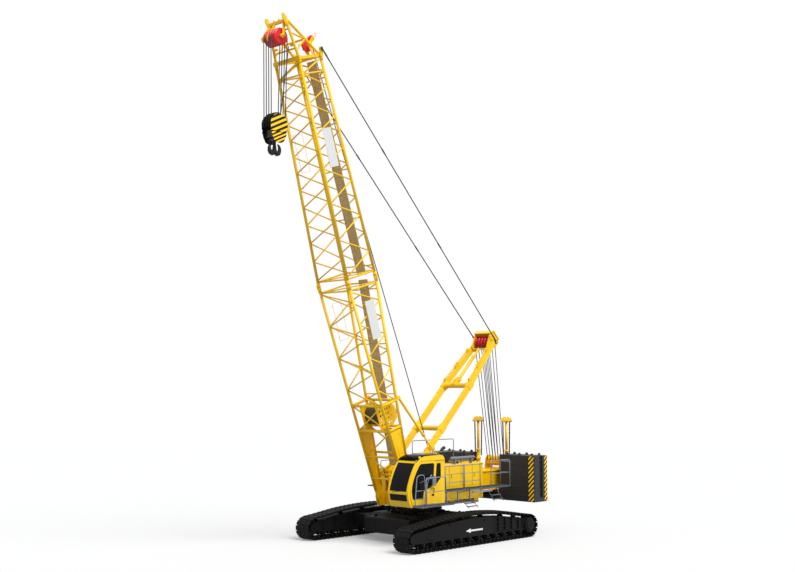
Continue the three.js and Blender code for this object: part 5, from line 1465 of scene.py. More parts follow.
# ---------------------------------------------------------------- operator's seat and console
# A sprung seat with thick foam cushions in woven cloth stands behind a moulded console.
# The cushions are crowned, drawn in along a sewn seam, and rest on a steel pedestal.
def cushion(name, middle, half, lean, cloth):
    """A crowned pad: half sizes in X, Y and Z, leaning back by an angle about Y."""
    nu, nv = 32, 16
    points, faces = [], []

    def sq(v, e):
        return math.copysign(abs(v) ** e, v)

    c, s = math.cos(lean), math.sin(lean)
    for i in range(nv + 1):
        t = -math.pi / 2 + math.pi * i / nv
        for k in range(nu):
            p = 2 * math.pi * k / nu
            x = half[0] * sq(math.cos(t), 0.35) * sq(math.cos(p), 0.4)
            y = half[1] * sq(math.cos(t), 0.35) * sq(math.sin(p), 0.4)
            z = half[2] * sq(math.sin(t), 0.6)
            edge = max(abs(x) / half[0], abs(y) / half[1])
            z *= 1.0 - 0.28 * edge**3
            z -= 0.012 * math.exp(-((abs(y) - 0.6 * half[1]) / 0.015) ** 2) * (1 if z > 0 else 0)
            points.append((middle[0] + c * x + s * z, middle[1] + y, middle[2] - s * x + c * z))
    for i in range(nv):
        for k in range(nu):
            j = (k + 1) % nu
            faces.append((i * nu + k, i * nu + j, (i + 1) * nu + j, (i + 1) * nu + k))
    work = Work()
    work.add(points, faces, True)
    pad = work.make(name, [cloth], "upperworks", slot="seat_fabric")
    welded = bmesh.new()
    welded.from_mesh(pad.data)
    bmesh.ops.remove_doubles(welded, verts=welded.verts, dist=0.0005)
    welded.to_mesh(pad.data)
    welded.free()
    return pad


cloth = finish("woven_seat_cloth", (40, 42, 48), 0.9, 0.0, 0.1, 400, 0.004)
console_plastic = finish("console_plastic", (46, 47, 50), 0.6, 0.0, 0.08, 160, 0.002)
seat_pad = cushion("seat_cushion", (1.55, 1.605, 2.04), (0.27, 0.25, 0.08), -0.06, cloth)
cushion("seat_back_cushion", (1.24, 1.605, 2.46), (0.36, 0.25, 0.075), -1.45, cloth)
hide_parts("operator_seat")
pedestal = Work()
pedestal.prism([(1.34, 1.712), (1.72, 1.712), (1.66, 1.96), (1.38, 1.96)], 1.44, 1.77)
for y in (1.33, 1.84):
    pedestal.prism([(1.3, 2.22), (1.62, 2.20), (1.62, 2.26), (1.3, 2.28)], y - 0.035, y + 0.035)
    pedestal.rod((1.62, y, 2.24), (1.65, y, 2.36), 0.018, sides=10)
pedestal.prism([(1.2, 1.96), (1.75, 1.96), (1.75, 1.985), (1.2, 1.985)], 1.36, 1.85)
pedestal.make("seat_pedestal", [console_plastic], "upperworks", slot="console_plastic", bevel=0.008)
console = Work()
console.prism(
    [
        (2.15, 1.712), (2.56, 1.712), (2.56, 2.21), (2.42, 2.33), (2.30, 2.27), (2.30, 1.83),
        (2.15, 1.77),
    ],
    1.28, 1.93,
)
console.use(1)
console.prism([(2.315, 2.285), (2.42, 2.34), (2.415, 2.35), (2.31, 2.295)], 1.42, 1.80)
console.make(
    "moulded_console", [console_plastic, glass], "upperworks", ["control_console"],
    "console_plastic", 0.02,
)


# ---------------------------------------------------------------- boom sections
# The boom is two lattice sections of round tube: four chords, single zigzag lacing, and framed ends
# joined by pins. Its foot has plated cheeks with eyes; a tan perforated catwalk lies inside the
# rear face and blank boards hang outside.
lean = math.radians(72.54)
joint_s, upper_length = 9.45, 9.25
half_width = 0.895


def on_boom(s, d):
    """A point s along the boom from its foot pin and d in front of its centre line."""
    x = boom_foot[0] + s * math.cos(lean) + d * math.sin(lean)
    return (x, boom_foot[1] + s * math.sin(lean) - d * math.cos(lean))


def boom_at(s, d, y):
    x, z = on_boom(s, d)
    return (x, y, z)


def depth_at(s):
    """Half the boom's depth: it grows from the foot to the joint and tapers to the head."""
    if s < joint_s:
        return 0.155 + 0.65 * s / joint_s
    return 0.805 - 0.22 * (s - joint_s) / upper_length


def width_at(s):
    return half_width if s < joint_s else half_width - 0.18 * (s - joint_s) / upper_length


def arc_points(x, z, r, degrees):
    turns = [math.radians(w) for w in degrees]
    return [(x + r * math.cos(w), z + r * math.sin(w)) for w in turns]


def at_corner(s, front, left):
    return boom_at(s, front * depth_at(s), left * width_at(s))


quad = [(1, 1), (1, -1), (-1, -1), (-1, 1)]


def tube(work, a, b, r, sides=12):
    work.rod(at_corner(*a), at_corner(*b), r, sides=sides)


def zigzag(work, stations, first, second, r=0.03):
    """Single lacing that steps between two chords."""
    for i in range(len(stations) - 1):
        a, b = (first, second) if i % 2 == 0 else (second, first)
        tube(work, (stations[i], *a), (stations[i + 1], *b), r, 10)


def all_faces(work, stations, first=(1, -1), second=(-1, -1)):
    zigzag(work, stations, (1, 1), (-1, 1))
    zigzag(work, stations, first, second)
    zigzag(work, stations, (1, -1), (1, 1))
    zigzag(work, stations, (-1, 1), (-1, -1))


def frame_ring(work, s, r=0.036):
    for i in range(4):
        tube(work, (s, *quad[i]), (s, *quad[(i + 1) % 4]), r)


def flat(work, points, y0, y1, holes=()):
    """A plate drawn in the boom's own lengthwise and depthwise measures."""
    work.prism(
        [on_boom(s, d) for s, d in points], y0, y1, [[on_boom(s, d) for s, d in h] for h in holes]
    )


boom_yellow = finish("boom_yellow_gloss", (254, 202, 8), 0.38, 0.0, 0.05, 60, 0.002, 0.08)
board_white = finish("blank_board_white", (222, 224, 224), 0.45, 0.0, 0.03, 60, 0.001)
base = Work()
for c in quad:
    tube(base, (0.33, *c), (9.4498, *c), 0.06, 20)
    tube(base, (9.26, *c), (9.4498, *c), 0.076, 20)
    base.disc(
        *on_boom(9.40, c[0] * depth_at(9.4)), c[1] * half_width - 0.1, c[1] * half_width + 0.1,
        0.04, 16,
    )
all_faces(base, [9.15 - 4.95 * i / 7 for i in range(8)])
frame_ring(base, 9.21)
tube(base, (9.21, 1, 1), (9.21, -1, -1), 0.027)
tube(base, (9.21, 1, -1), (9.21, -1, 1), 0.027)
frame_ring(base, 4.2, 0.06)
frame_ring(base, 3.08, 0.06)
tube(base, (4.2, 1, 1), (3.08, 1, -1), 0.03)
tube(base, (4.2, 1, -1), (3.08, 1, 1), 0.03)
for y in (-half_width, half_width):
    flat(
        base,
        [
            (0.27, depth_at(0.33) + 0.03), (3.08, depth_at(3.08)), (3.08, -depth_at(3.08)),
            (0.27, -depth_at(0.33) - 0.03),
        ],
        y - 0.012, y + 0.012,
    )
    side = 1 if y > 0 else -1
    y0 = y + side * 0.012
    d_shape = [
        (1.5, 0.02), (2.75, 0.14), (2.86, 0.06), (2.9, -0.06), (2.82, -0.16), (2.7, -0.22),
        (2.4, -0.2),
    ]
    base.pipe([boom_at(s, d, y0) for s, d in d_shape], 0.014, 8, loop=True)
    for s in (0.8, 1.35):
        base.beam(boom_at(s, depth_at(s), y0), boom_at(s, -depth_at(s), y0), 0.02, 0.03)
    eye = [
        on_boom(
            0.165 * math.cos(math.pi / 2 + math.pi * k / 20),
            0.165 * math.sin(math.pi / 2 + math.pi * k / 20),
        )
        for k in range(21)
    ]
    bore = circle(*boom_foot, 0.082, 32)
    base.prism(
        [on_boom(0.42, -0.2)] + eye[::-1] + [on_boom(0.42, 0.2)], y - 0.055, y + 0.055, [bore]
    )
for s, f in ((0.9, 1), (1.9, 1), (0.9, -1), (1.9, -1)):
    tube(base, (s, f, 1), (s, f, -1), 0.05)
foot_braces = (
    ((0.9, 1, 1), (1.9, 1, -1)), ((1.9, 1, -1), (3.0, 1, 1)),
    ((0.9, -1, -1), (1.9, -1, 1)), ((1.9, -1, 1), (3.0, -1, -1)),
)
for a, b in foot_braces:
    tube(base, a, b, 0.034)
drum_s, drum_d = 3.6, -0.43
for side in (-1, 1):
    y = (0.4425, 0.4705) if side > 0 else (-0.4705, -0.4425)
    shape = [
        (3.13, depth_at(3.1)), (4.16, depth_at(4.1)), (4.16, -depth_at(4.1)), (3.85, -0.7),
        (3.35, -0.7), (3.13, -depth_at(3.1)),
    ]
    shaft = circle(drum_s, drum_d, 0.063, 24)
    ports = []
    for i in range(4):
        for j in range(6):
            s0, d0 = 3.3 + 0.2 * i, 0.24 - 0.15 * j
            if side > 0 and math.hypot(s0 - drum_s, d0 - drum_d) > 0.16 and (j < 5 or i in (1, 2)):
                ports.append(circle(s0, d0, 0.05, 10))
    flat(base, shape, y[0], y[1], [shaft] + ports)
    for s in (3.13, 4.14):
        base.beam(
            boom_at(s, 0.33, side * 0.46), boom_at(s, 0.33, side * 0.88), 0.08, 0.06, (0, 0, 1)
        )
sweep = [math.radians(w) for w in range(10, 171, 10)]
shell = [(3.64 + 0.4 * math.cos(w), -0.06 + 0.34 * math.sin(w)) for w in sweep]
shell += [(3.64 + 0.38 * math.cos(w), -0.06 + 0.32 * math.sin(w)) for w in sweep[::-1]]
rear = range(200, 341, 10)
rear_shell = arc_points(drum_s, drum_d, 0.335, rear) + arc_points(drum_s, drum_d, 0.32, rear[::-1])
# The guard shells round the drum take a dark olive: painted shade for the shadowed inside of the
# boom foot.
base.use(2)
flat(base, shell, -0.438, 0.438)
flat(base, rear_shell, -0.438, 0.438)
base.use(0)
for s in (4.46, 8.93, 6.6):
    base.beam(
        boom_at(s, -depth_at(s) + 0.01, -0.88), boom_at(s, -depth_at(s) + 0.01, 0.88), 0.05, 0.045,
        (0, 0, 1),
    )
for y, full in ((0.985, 1), (-0.985, 0)):
    corners = [(8.6, 0.20), (8.6, -0.29), (6.98, -0.29), (6.98, 0.20)]
    if full:
        base.use(1)
        flat(base, corners, y - 0.004, y + 0.004)
        base.use(0)
    base.pipe([boom_at(s, d, y) for s, d in corners], 0.009, 6, loop=True)
    for s in (8.45, 7.1):
        base.rod(
            boom_at(s, 0.2, y), boom_at(s + 0.1, 0.35, 0.9 * (1 if y > 0 else -1)), 0.008, sides=6
        )
# Dark olive for the drum guard: painted shade.
drum_guard_painted_shade = finish("drum_guard_painted_shade_olive", (74, 68, 46), 0.6, 0.0, 0.12, 50, 0.004)
base.make(
    "boom_base_lattice", [boom_yellow, board_white, drum_guard_painted_shade], "boom", ["boom_base_section"],
    "crane_yellow",
)
aux = Work()
wound_drum(aux, *on_boom(drum_s, drum_d), 0.43, 0.24, 0.3, holes=1)
aux.make(
    "auxiliary_drum_wound", [yellow, winch_rope], "auxiliary_winch_drum", ["auxiliary_winch_drum"],
    "crane_yellow",
)

upper = Work()
for c in quad:
    tube(upper, (9.4502, *c), (18.62, *c), 0.06, 20)
    tube(upper, (9.4502, *c), (9.64, *c), 0.076, 20)
    tube(upper, (18.5, *c), (18.62, *c), 0.072, 20)
    upper.disc(
        *on_boom(9.5, c[0] * depth_at(9.5)), c[1] * half_width - 0.1, c[1] * half_width + 0.1, 0.04,
        16,
    )
stations = []
for i in range(13):
    t = i / 12
    stations.append(18.05 + (9.75 - 18.05) * (t * 0.84 + t * t * 0.16))
all_faces(upper, stations, (-1, -1), (1, -1))
frame_ring(upper, 9.69)
tube(upper, (9.69, 1, 1), (9.69, -1, -1), 0.027)
tube(upper, (9.69, 1, -1), (9.69, -1, 1), 0.027)
frame_ring(upper, 18.05)
end_braces = (
    ((18.05, 1, 1), (18.6, -1, 1)), ((18.05, 1, -1), (18.6, -1, -1)),
    ((18.05, 1, -1), (18.6, 1, 1)), ((18.05, -1, 1), (18.6, -1, -1)),
)
for a, b in end_braces:
    tube(upper, a, b, 0.036)
for s in (9.93, 11.95, 14.0, 15.9, 17.8):
    upper.beam(
        boom_at(s, -depth_at(s) + 0.01, -width_at(s)), boom_at(s, -depth_at(s) + 0.01, width_at(s)),
        0.05, 0.045, (0, 0, 1),
    )
for side, full in ((1, 1), (-1, 0)):
    y = side * (width_at(15) + 0.09)
    corners = [(15.8, 0.35), (15.8, -0.13), (14.22, -0.13), (14.22, 0.35)]
    if full:
        upper.use(1)
        flat(upper, corners, y - 0.004, y + 0.004)
        upper.use(0)
    upper.pipe([boom_at(s, d, y) for s, d in corners], 0.009, 6, loop=True)
    for s in (15.7, 14.3):
        upper.rod(boom_at(s, 0.35, y), boom_at(s + 0.1, 0.55, side * width_at(s)), 0.008, sides=6)
upper.make(
    "boom_top_lattice", [boom_yellow, board_white], "boom", ["boom_top_section"], "crane_yellow"
)

tan = finish("perforated_catwalk_tan", (214, 188, 130), 0.7, 0.0, 0.06, 90, 0.003)
tan_tree = tan.node_tree
tan_holes = tan_tree.nodes.new("ShaderNodeTexVoronoi")
tan_holes.inputs["Scale"].default_value = 26
tan_place = tan_tree.nodes.new("ShaderNodeTexCoord")
tan_tree.links.new(tan_place.outputs["Object"], tan_holes.inputs["Vector"])
tan_ramp = tan_tree.nodes.new("ShaderNodeValToRGB")
tan_ramp.color_ramp.elements[0].position = 0.28
tan_ramp.color_ramp.elements[0].color = (0.3, 0.27, 0.2, 1)
tan_ramp.color_ramp.elements[1].position = 0.36
tan_tree.links.new(tan_holes.outputs["Distance"], tan_ramp.inputs["Fac"])
tan_mix = tan_tree.nodes.new("ShaderNodeMixRGB")
tan_mix.blend_type = "MULTIPLY"
tan_mix.inputs["Fac"].default_value = 1
tan_base = tan_tree.nodes["Principled BSDF"].inputs["Base Color"]
tan_tree.links.new(tan_base.links[0].from_socket, tan_mix.inputs["Color1"])
tan_tree.links.new(tan_ramp.outputs["Color"], tan_mix.inputs["Color2"])
tan_tree.links.new(tan_mix.outputs["Color"], tan_base)
for name, node, s0, s1 in (
    ("lower_catwalk", "boom_base_walkway", 4.28, 9.36),
    ("upper_catwalk", "boom_top_walkway", 9.56, 18.55),
):
    deck = Work()
    l0, l1 = -depth_at(s0) + 0.039, -depth_at(s1) + 0.039
    flat(deck, [(s0, l0), (s0, l0 + 0.012), (s1, l1 + 0.012), (s1, l1)], -0.08, 0.42)
    for y in (-0.08, 0.42):
        flat(deck, [(s0, l0), (s0, l0 + 0.035), (s1, l1 + 0.035), (s1, l1)], y - 0.008, y + 0.008)
    n = int((s1 - s0) / 0.3)
    for k in range(n):
        s = s0 + (s1 - s0) * (k + 0.5) / n
        l = l0 + (l1 - l0) * (k + 0.5) / n
        flat(
            deck,
            [
                (s - 0.012, l + 0.01), (s - 0.012, l + 0.024), (s + 0.012, l + 0.024),
                (s + 0.012, l + 0.01),
            ],
            -0.07, 0.41,
        )
    if s0 < 9:
        flat(deck, [(1.35, -0.235), (1.35, -0.223), (3.0, -0.325), (3.0, -0.337)], -0.08, 0.42)
        for y in (-0.08, 0.42):
            flat(
                deck, [(1.35, -0.235), (1.35, -0.2), (3.0, -0.302), (3.0, -0.337)], y - 0.008,
                y + 0.008,
            )
    deck.make(name, [tan], "boom", [node], "mesh_tan")


# ---------------------------------------------------------------- boom head
# The head is an open welded frame that rises from the top section's end beams to two eared tips.
# It holds the cluster of hoist sheaves forward of the boom and a pair of guide sheaves behind it.
head_pin = (19.67, 0.936)
head = Work()
for d, reach in ((0.585, 0.80), (-0.585, 0.814)):
    flat(
        head,
        [(18.622, d - 0.07), (18.622, d + 0.07), (18.79, d + 0.07), (18.79, d - 0.07)],
        -reach, reach,
    )
for side in (-1, 1):
    y = side * 0.70
    head.beam(boom_at(18.7, 0.5, y), boom_at(18.7, -0.5, y), 0.09, 0.11)
    tip = boom_at(20.28, 0.66, side * 0.52)
    head.rod(boom_at(18.7, 0.585, y), tip, 0.055, sides=16)
    head.rod(boom_at(18.7, -0.585, y), boom_at(20.22, 0.58, side * 0.53), 0.055, sides=16)
    head.rod(boom_at(19.42, -0.02, side * 0.615), boom_at(19.0, 0.6, side * 0.67), 0.036, sides=12)
    head.rod(
        boom_at(19.42, -0.02, side * 0.615), boom_at(19.75, 0.62, side * 0.57), 0.036, sides=12
    )
    inner, outer = (0.5, 0.54) if side > 0 else (-0.54, -0.5)
    flat(
        head,
        [
            (20.0, 0.56), (20.05, 0.72), (20.40, 0.82), (20.49, 0.81), (20.54, 0.76),
            (20.53, 0.69), (20.46, 0.655), (20.3, 0.57),
        ],
        inner, outer, [circle(20.46, 0.75, 0.03, 10)],
    )
    inner, outer = (0.39, 0.42) if side > 0 else (-0.42, -0.39)
    hub = arc_points(*head_pin, 0.09, range(-25, 236, 20))
    flat(head, [(20.2, 0.62), (20.2, 0.74)] + hub + [(19.7, 0.80)], inner, outer)
    for s, d in ((19.25, 0.6), (20.05, 0.65)):
        head.beam(boom_at(s, d, side * 0.41), boom_at(s, d, side * 0.6), 0.07, 0.08, (0, 0, 1))
    inner, outer = (0.755, 0.815) if side > 0 else (-0.815, -0.755)
    arc = [
        (
            18.95 + 0.08 * math.cos(math.pi / 2 - math.pi * k / 12),
            -0.62 + 0.08 * math.sin(math.pi / 2 - math.pi * k / 12),
        )
        for k in range(13)
    ]
    flat(head, [(18.68, -0.525)] + arc + [(18.68, -0.645)], inner, outer)
    head.turned(
        boom_at(*head_pin, side * 0.43), boom_at(*head_pin, side * 0.56),
        [(0, 0.085), (0.3, 0.085), (0.35, 0.062), (0.9, 0.062), (1, 0.05)],
        20,
    )
head.beam(boom_at(20.24, 0.68, -0.52), boom_at(20.24, 0.68, 0.52), 0.11, 0.12, (0, 0, 1))
for y in (-0.17, 0.13):
    flat(
        head,
        [(20.26, 0.62), (20.26, 0.74), (20.37, 0.72), (20.40, 0.68), (20.37, 0.64)],
        y, y + 0.035,
    )
head.rod(boom_at(*head_pin, -0.45), boom_at(*head_pin, 0.45), 0.058, sides=24)
head.rod(boom_at(19.42, -0.02, -0.61), boom_at(19.42, -0.02, 0.61), 0.045, sides=16)
for side in (-1, 1):
    head.rod(boom_at(18.75, 0.52, side * 0.66), boom_at(18.75, -0.52, -side * 0.66), 0.03, sides=10)
for s, d in ((19.1, 0.60), (19.9, 0.635)):
    head.rod(boom_at(s, d, -0.6), boom_at(s, d, 0.6), 0.035, sides=12)
for y0, arm in (
    (
        0.07,
        [
            (18.8, -0.5), (18.8, -0.64), (19.1, -0.58), (19.42, -0.86), (19.55, -0.86),
            (19.58, -0.74), (19.35, -0.38), (19.15, -0.3),
        ],
    ),
    (
        0.33,
        [
            (18.8, -0.53), (18.8, -0.61), (19.14, -0.52), (19.42, -0.82), (19.52, -0.82),
            (19.53, -0.72), (19.26, -0.41), (19.14, -0.4),
        ],
    ),
):
    flat(head, arm, y0, y0 + 0.022)
head.rod(boom_at(19.19, -0.44, 0.03), boom_at(19.19, -0.44, 0.40), 0.04, sides=16)
head.rod(boom_at(19.46, -0.75, 0.03), boom_at(19.46, -0.75, 0.40), 0.03, sides=16)
head.pipe(
    [
        boom_at(19.48, -0.78, 0.34), boom_at(19.52, -0.92, 0.34), boom_at(19.62, -1.0, 0.32),
        boom_at(19.66, -1.0, 0.24),
    ],
    0.022, 8, bend=0.06,
)
for y in (-0.43, -0.12):
    flat(head, [(19.6, 1.23), (19.6, 1.31), (19.78, 1.31), (19.78, 1.23)], y, y + 0.1)
    flat(head, [(20.12, 0.74), (20.2, 0.8), (19.78, 1.31), (19.7, 1.29)], y + 0.035, y + 0.06)
head.use(1)
for s, d, y, r in ((19.19, -0.44, 0.21, 0.25), (19.46, -0.75, 0.23, 0.13)):
    x, z = on_boom(s, d)
    sheave_row(head, x, z, [y], r, 0.042, 0.07)
head.use(2)
head.pipe(
    [
        boom_at(19.0, -0.1, 0.3), boom_at(19.15, 0.0, 0.42), boom_at(19.3, 0.15, 0.45),
        boom_at(19.05, 0.3, 0.4), boom_at(18.9, 0.2, 0.35),
    ],
    0.012, 6, bend=0.1,
)
for side in (-1, 1):
    head.bolt(boom_at(*head_pin, side * 0.56), (0, side, 0), 0.03, 0.015)
head.make(
    "boom_head_frame", [boom_yellow, red, hose_black], "boom", ["boom_head"], "crane_yellow", 0.004
)
top_sheaves = Work()
sheave_row(top_sheaves, *on_boom(*head_pin), [-0.3, -0.15, 0, 0.15, 0.3], 0.34, 0.06, 0.07)
top_sheaves.make("hoist_sheave_cluster", [red], "head_sheaves", ["head_sheaves"], "sheave_red")


# ---------------------------------------------------------------- backstops
# Two telescopic tube struts are pinned to the rear chords and push against the deck when the boom
# is raised too far. They are yellow steel tube, with a bare inner rod and a rubber-faced foot.
stop = Work()
e0, e1 = on_boom(4.26, -depth_at(4.2) - 0.135), (-0.33, 3.44)
mid = [e0[k] + (e1[k] - e0[k]) * 0.62 for k in (0, 1)]
stop.turned(
    (e0[0], 0.915, e0[1]), (mid[0], 0.915, mid[1]),
    [(0, 0.05), (0.05, 0.055), (0.94, 0.055), (0.95, 0.068), (1, 0.068)],
    24,
)
stop.rod((mid[0] + 0.02, 0.915, mid[1] + 0.02), (e1[0] + 0.05, 0.915, e1[1] + 0.05), 0.04, sides=20)
stop.rod((e1[0] + 0.06, 0.915, e1[1] + 0.06), (e1[0], 0.915, e1[1]), 0.06, sides=20)
stop.disc(e0[0], e0[1], 0.865, 0.965, 0.075, 24)
for y in (0.86, 0.95):
    stop.prism(
        [
            (e0[0] - 0.06, e0[1] - 0.06), (e0[0] + 0.12, e0[1] - 0.07),
            (e0[0] + 0.12, e0[1] + 0.07), (e0[0] - 0.05, e0[1] + 0.06),
        ],
        y, y + 0.016,
    )
stop.make("left_backstop_strut", [boom_yellow], "boom", ["left_backstop"], "crane_yellow")
stop.mirrored().make(
    "right_backstop_strut", [boom_yellow], "boom", ["right_backstop"], "crane_yellow"
)


# ---------------------------------------------------------------- mast
# The mast is a pair of box-section arms joined by two round cross-beams, and closes in to a sheave
# head at its top. Link bars are stowed along the arms and a round hydraulic strut lies between
# them; all is gloss yellow.
slope = 0.70711
mast_head_x, mast_head_z = -4.59857, 8.59271


def on_mast(t, n):
    """A point t along the mast from its foot pin and n below its centre line."""
    return (mast_foot[0] - t * slope - n * slope, mast_foot[1] + t * slope - n * slope)


def mast_at(t, n, y):
    x, z = on_mast(t, n)
    return (x, y, z)


mast = Work()
for side in (-1, 1):
    y = side * 0.75
    mast.beam(mast_at(0.2, 0, y), mast_at(5.25, 0, y), 0.15, 0.25)
    mast.beam(mast_at(5.1, 0, y), mast_at(8.1, 0, side * 0.5), 0.14, 0.23)
    for t in (0.55, 2.49, 5.13):
        mast.beam(mast_at(t - 0.18, 0, y), mast_at(t + 0.18, 0, y), 0.185, 0.285)
    half_turn = [
        on_mast(
            0.135 * math.cos(math.pi / 2 + math.pi * k / 16),
            0.135 * math.sin(math.pi / 2 + math.pi * k / 16),
        )
        for k in range(17)
    ]
    bore = circle(*mast_foot, 0.062, 28)
    mast.prism(
        [on_mast(0.26, -0.14)] + half_turn[::-1] + [on_mast(0.26, 0.14)],
        y - 0.094, y + 0.094, [bore],
    )
    for t0, t1 in ((5.35, 6.25), (6.4, 7.3)):
        ya, yb = side * (0.75 - 0.083 * (t0 - 5.1)), side * (0.75 - 0.083 * (t1 - 5.1))
        mast.rod(mast_at(t0, -0.21, ya), mast_at(t1, -0.21, yb), 0.026, sides=12)
        for t, yy in ((t0, ya), (t1, yb)):
            mast.prism(
                [
                    on_mast(t - 0.1, -0.13), on_mast(t + 0.1, -0.13), on_mast(t + 0.05, -0.25),
                    on_mast(t - 0.05, -0.25),
                ],
                yy - 0.045, yy + 0.045,
            )
            mast.rod(mast_at(t, -0.21, yy - 0.065), mast_at(t, -0.21, yy + 0.065), 0.03, sides=12)
    for t in (1.1, 1.9, 3.2, 3.9, 4.6):
        mast.turned(mast_at(t, -0.145, y), mast_at(t, -0.17, y), [(0, 0.03), (1, 0.022)], 12)
    inner, outer = (0.43, 0.46) if side > 0 else (-0.46, -0.43)
    mast.prism(
        [
            on_mast(*p)
            for p in (
                (7.5, -0.17), (7.5, 0.15), (8.16, 0.33), (8.39, 0.2), (8.39, -0.33), (8.12, -0.43)
            )
        ],
        inner, outer,
    )
    mast.turned(
        mast_at(8.06, 0.06, side * 0.45), mast_at(8.06, 0.06, side * 0.64),
        [(0, 0.09), (0.3, 0.09), (0.35, 0.0445), (0.92, 0.0445), (1, 0.035)],
        24,
    )
    mast.rod(
        (mast_head_x, side * 0.43, mast_head_z), (mast_head_x, side * 0.475, mast_head_z), 0.09,
        sides=24,
    )
for t, r in ((2.49, 0.105), (5.13, 0.115)):
    mast.turned(
        mast_at(t, 0, -0.66), mast_at(t, 0, 0.66),
        [(0, r + 0.07), (0.05, r + 0.03), (0.12, r), (0.88, r), (0.95, r + 0.03), (1, r + 0.07)],
        28,
    )
mast.rod((mast_head_x, -0.44, mast_head_z), (mast_head_x, 0.44, mast_head_z), 0.053, sides=24)
mast.prism(
    [on_mast(*p) for p in ((8.37, 0.2), (8.40, 0.2), (8.40, -0.34), (8.37, -0.34))], -0.5, 0.5
)
mast.prism(
    [on_mast(*p) for p in ((8.10, -0.44), (8.12, -0.465), (8.41, -0.35), (8.385, -0.33))], -0.5, 0.5
)
mast.turned(
    mast_at(5.55, -0.02, -0.12), mast_at(7.55, -0.02, -0.12),
    [
        (0, 0.085), (0.02, 0.085), (0.03, 0.075), (0.7, 0.075), (0.71, 0.088), (0.76, 0.088),
        (0.77, 0.055), (1, 0.055),
    ],
    28,
)
mast.rod(mast_at(5.13, -0.02, -0.12), mast_at(5.6, -0.02, -0.12), 0.05, sides=16)
for y in (-0.2, -0.06):
    mast.prism(
        [
            on_mast(*p)
            for p in ((5.1, 0.08), (5.1, -0.2), (5.45, -0.17), (5.62, -0.08), (5.62, 0.05))
        ],
        y, y + 0.022,
    )
mast.rod(mast_at(5.42, -0.05, -0.36), mast_at(5.42, -0.05, 0.1), 0.035, sides=14)
mast.rod(mast_at(7.56, 0.02, -0.45), mast_at(7.56, 0.02, 0.45), 0.038, sides=20)
mast.use(1)
mast.pipe(
    [
        mast_at(0.6, 0.1, 0.63), mast_at(2.3, 0.12, 0.63), mast_at(4.9, 0.12, 0.63),
        mast_at(6.0, 0.1, 0.5),
    ],
    0.012, 6, bend=0.2,
)
mast.make("mast_arms_and_head", [yellow, hose_black], "mast", ["mast"], "crane_yellow", 0.01)
mast_row = Work()
sheave_row(mast_row, mast_head_x, mast_head_z, [-0.36, -0.18, 0, 0.18, 0.36], 0.29, 0.055, 0.06)
mast_row.make(
    "mast_sheave_cluster", [red], "mast_head_sheaves", ["mast_head_sheaves"], "sheave_red"
)


# ---------------------------------------------------------------- pendants and running ropes
# Two wire-rope pendants with swaged sockets tie the mast head to the boom head; they are galvanised
# and greased. The luffing rope runs in many parts from the mast to its lower block, and the hoist
# rope from the boom head to its winch.
rope_steel = finish("wire_rope", (66, 66, 70), 0.6, 0.15, 0.15, 260, 0.004)
pendant = Work()
low, high = Vector((-4.71171, 0.6, 8.60685)), Vector(boom_at(18.95, -0.62, 0.86))
span = (high - low).normalized()
pendant.turned(low + span * 0.5, high - span * 0.42, [(0, 0.024), (1, 0.024)], 12)
for start, way in ((low, span), (high, -span)):
    pendant.turned(
        start + way * 0.24, start + way * 0.62,
        [(0, 0.034), (0.35, 0.036), (0.45, 0.03), (1, 0.026)], 16,
    )
    pendant.beam(start + way * 0.06, start + way * 0.30, 0.036, 0.055)
eye = circle(low.x, low.z, 0.085, 28)
bore = circle(low.x, low.z, 0.046, 28)
pendant.prism(eye, 0.58, 0.62, [bore])
pendant.turned(
    (high.x, 0.84, high.z), (high.x, 0.88, high.z),
    [(0, 0.05), (0.2, 0.06), (0.8, 0.06), (1, 0.05)], 24,
)
for t in (0.36, 0.68):
    c = low.lerp(high, t)
    pendant.turned(
        c - span * 0.16, c + span * 0.16, [(0, 0.026), (0.2, 0.033), (0.8, 0.033), (1, 0.026)], 14
    )
pendant.make("left_pendant_rope", [rope_steel], "pendants", ["left_pendant"], "rope_steel")
pendant.mirrored().make(
    "right_pendant_rope", [rope_steel], "pendants", ["right_pendant"], "rope_steel"
)

reeving = Work()
for k in range(5):
    for side in (-1, 1):
        y0, y1 = -0.36 + 0.18 * k, -0.32 + 0.16 * k
        a, b = (
            mast_head_x + side * 0.285, y0, mast_head_z - 0.03
        ), (luff_x + side * 0.225, y1 + 0.02 * side, 3.12)
        reeving.rod(a, b, 0.017, sides=8)
ropes = reeving.make("luffing_rope_parts", [rope_steel], None, slot="rope_steel")
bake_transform(ropes)
lead = Work()
a, b = Vector((-1.10, 0.02, 2.72)), Vector(boom_at(19.40, -0.70, 0.22))
lead.rod(a, b, 0.02, sides=10)
lead_rope = lead.make("hoist_rope_lead", [rope_steel], None, slot="rope_steel")
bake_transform(lead_rope)


# ---------------------------------------------------------------- hoist falls, hook block and hook
# Eight parts of rope hang from the head sheaves to a four-sheave block with striped cheek plates.
# The block is black with yellow and black cheeks; below it a forged double hook swivels in a
# trunnion.
head_x, head_z = on_boom(*head_pin)
hook_axle_z = 16.9
falls = Work()
reach = 0.34 + 0.0146
for i in range(4):
    y = (i - 1.5) * 0.15
    for side, top_y in ((1, (i - 2) * 0.15), (-1, (i - 1) * 0.15)):
        a, b = Vector((head_x + side * reach, top_y, head_z)), Vector(
            (head_x + side * reach, y, hook_axle_z)
        )
        falls.rod(a, b, 0.0185, sides=8)
a, b = Vector((head_x - reach + 0.02, 0.42, head_z - 0.35)), Vector((head_x - 0.1, 0.24, 17.2))
falls.rod(a, b, 0.0185, sides=8)
fall_ropes = falls.make(
    "hoist_rope_falls", [rope_steel], None, ["front_hoist_falls", "rear_hoist_falls"], "rope_steel"
)
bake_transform(fall_ropes)

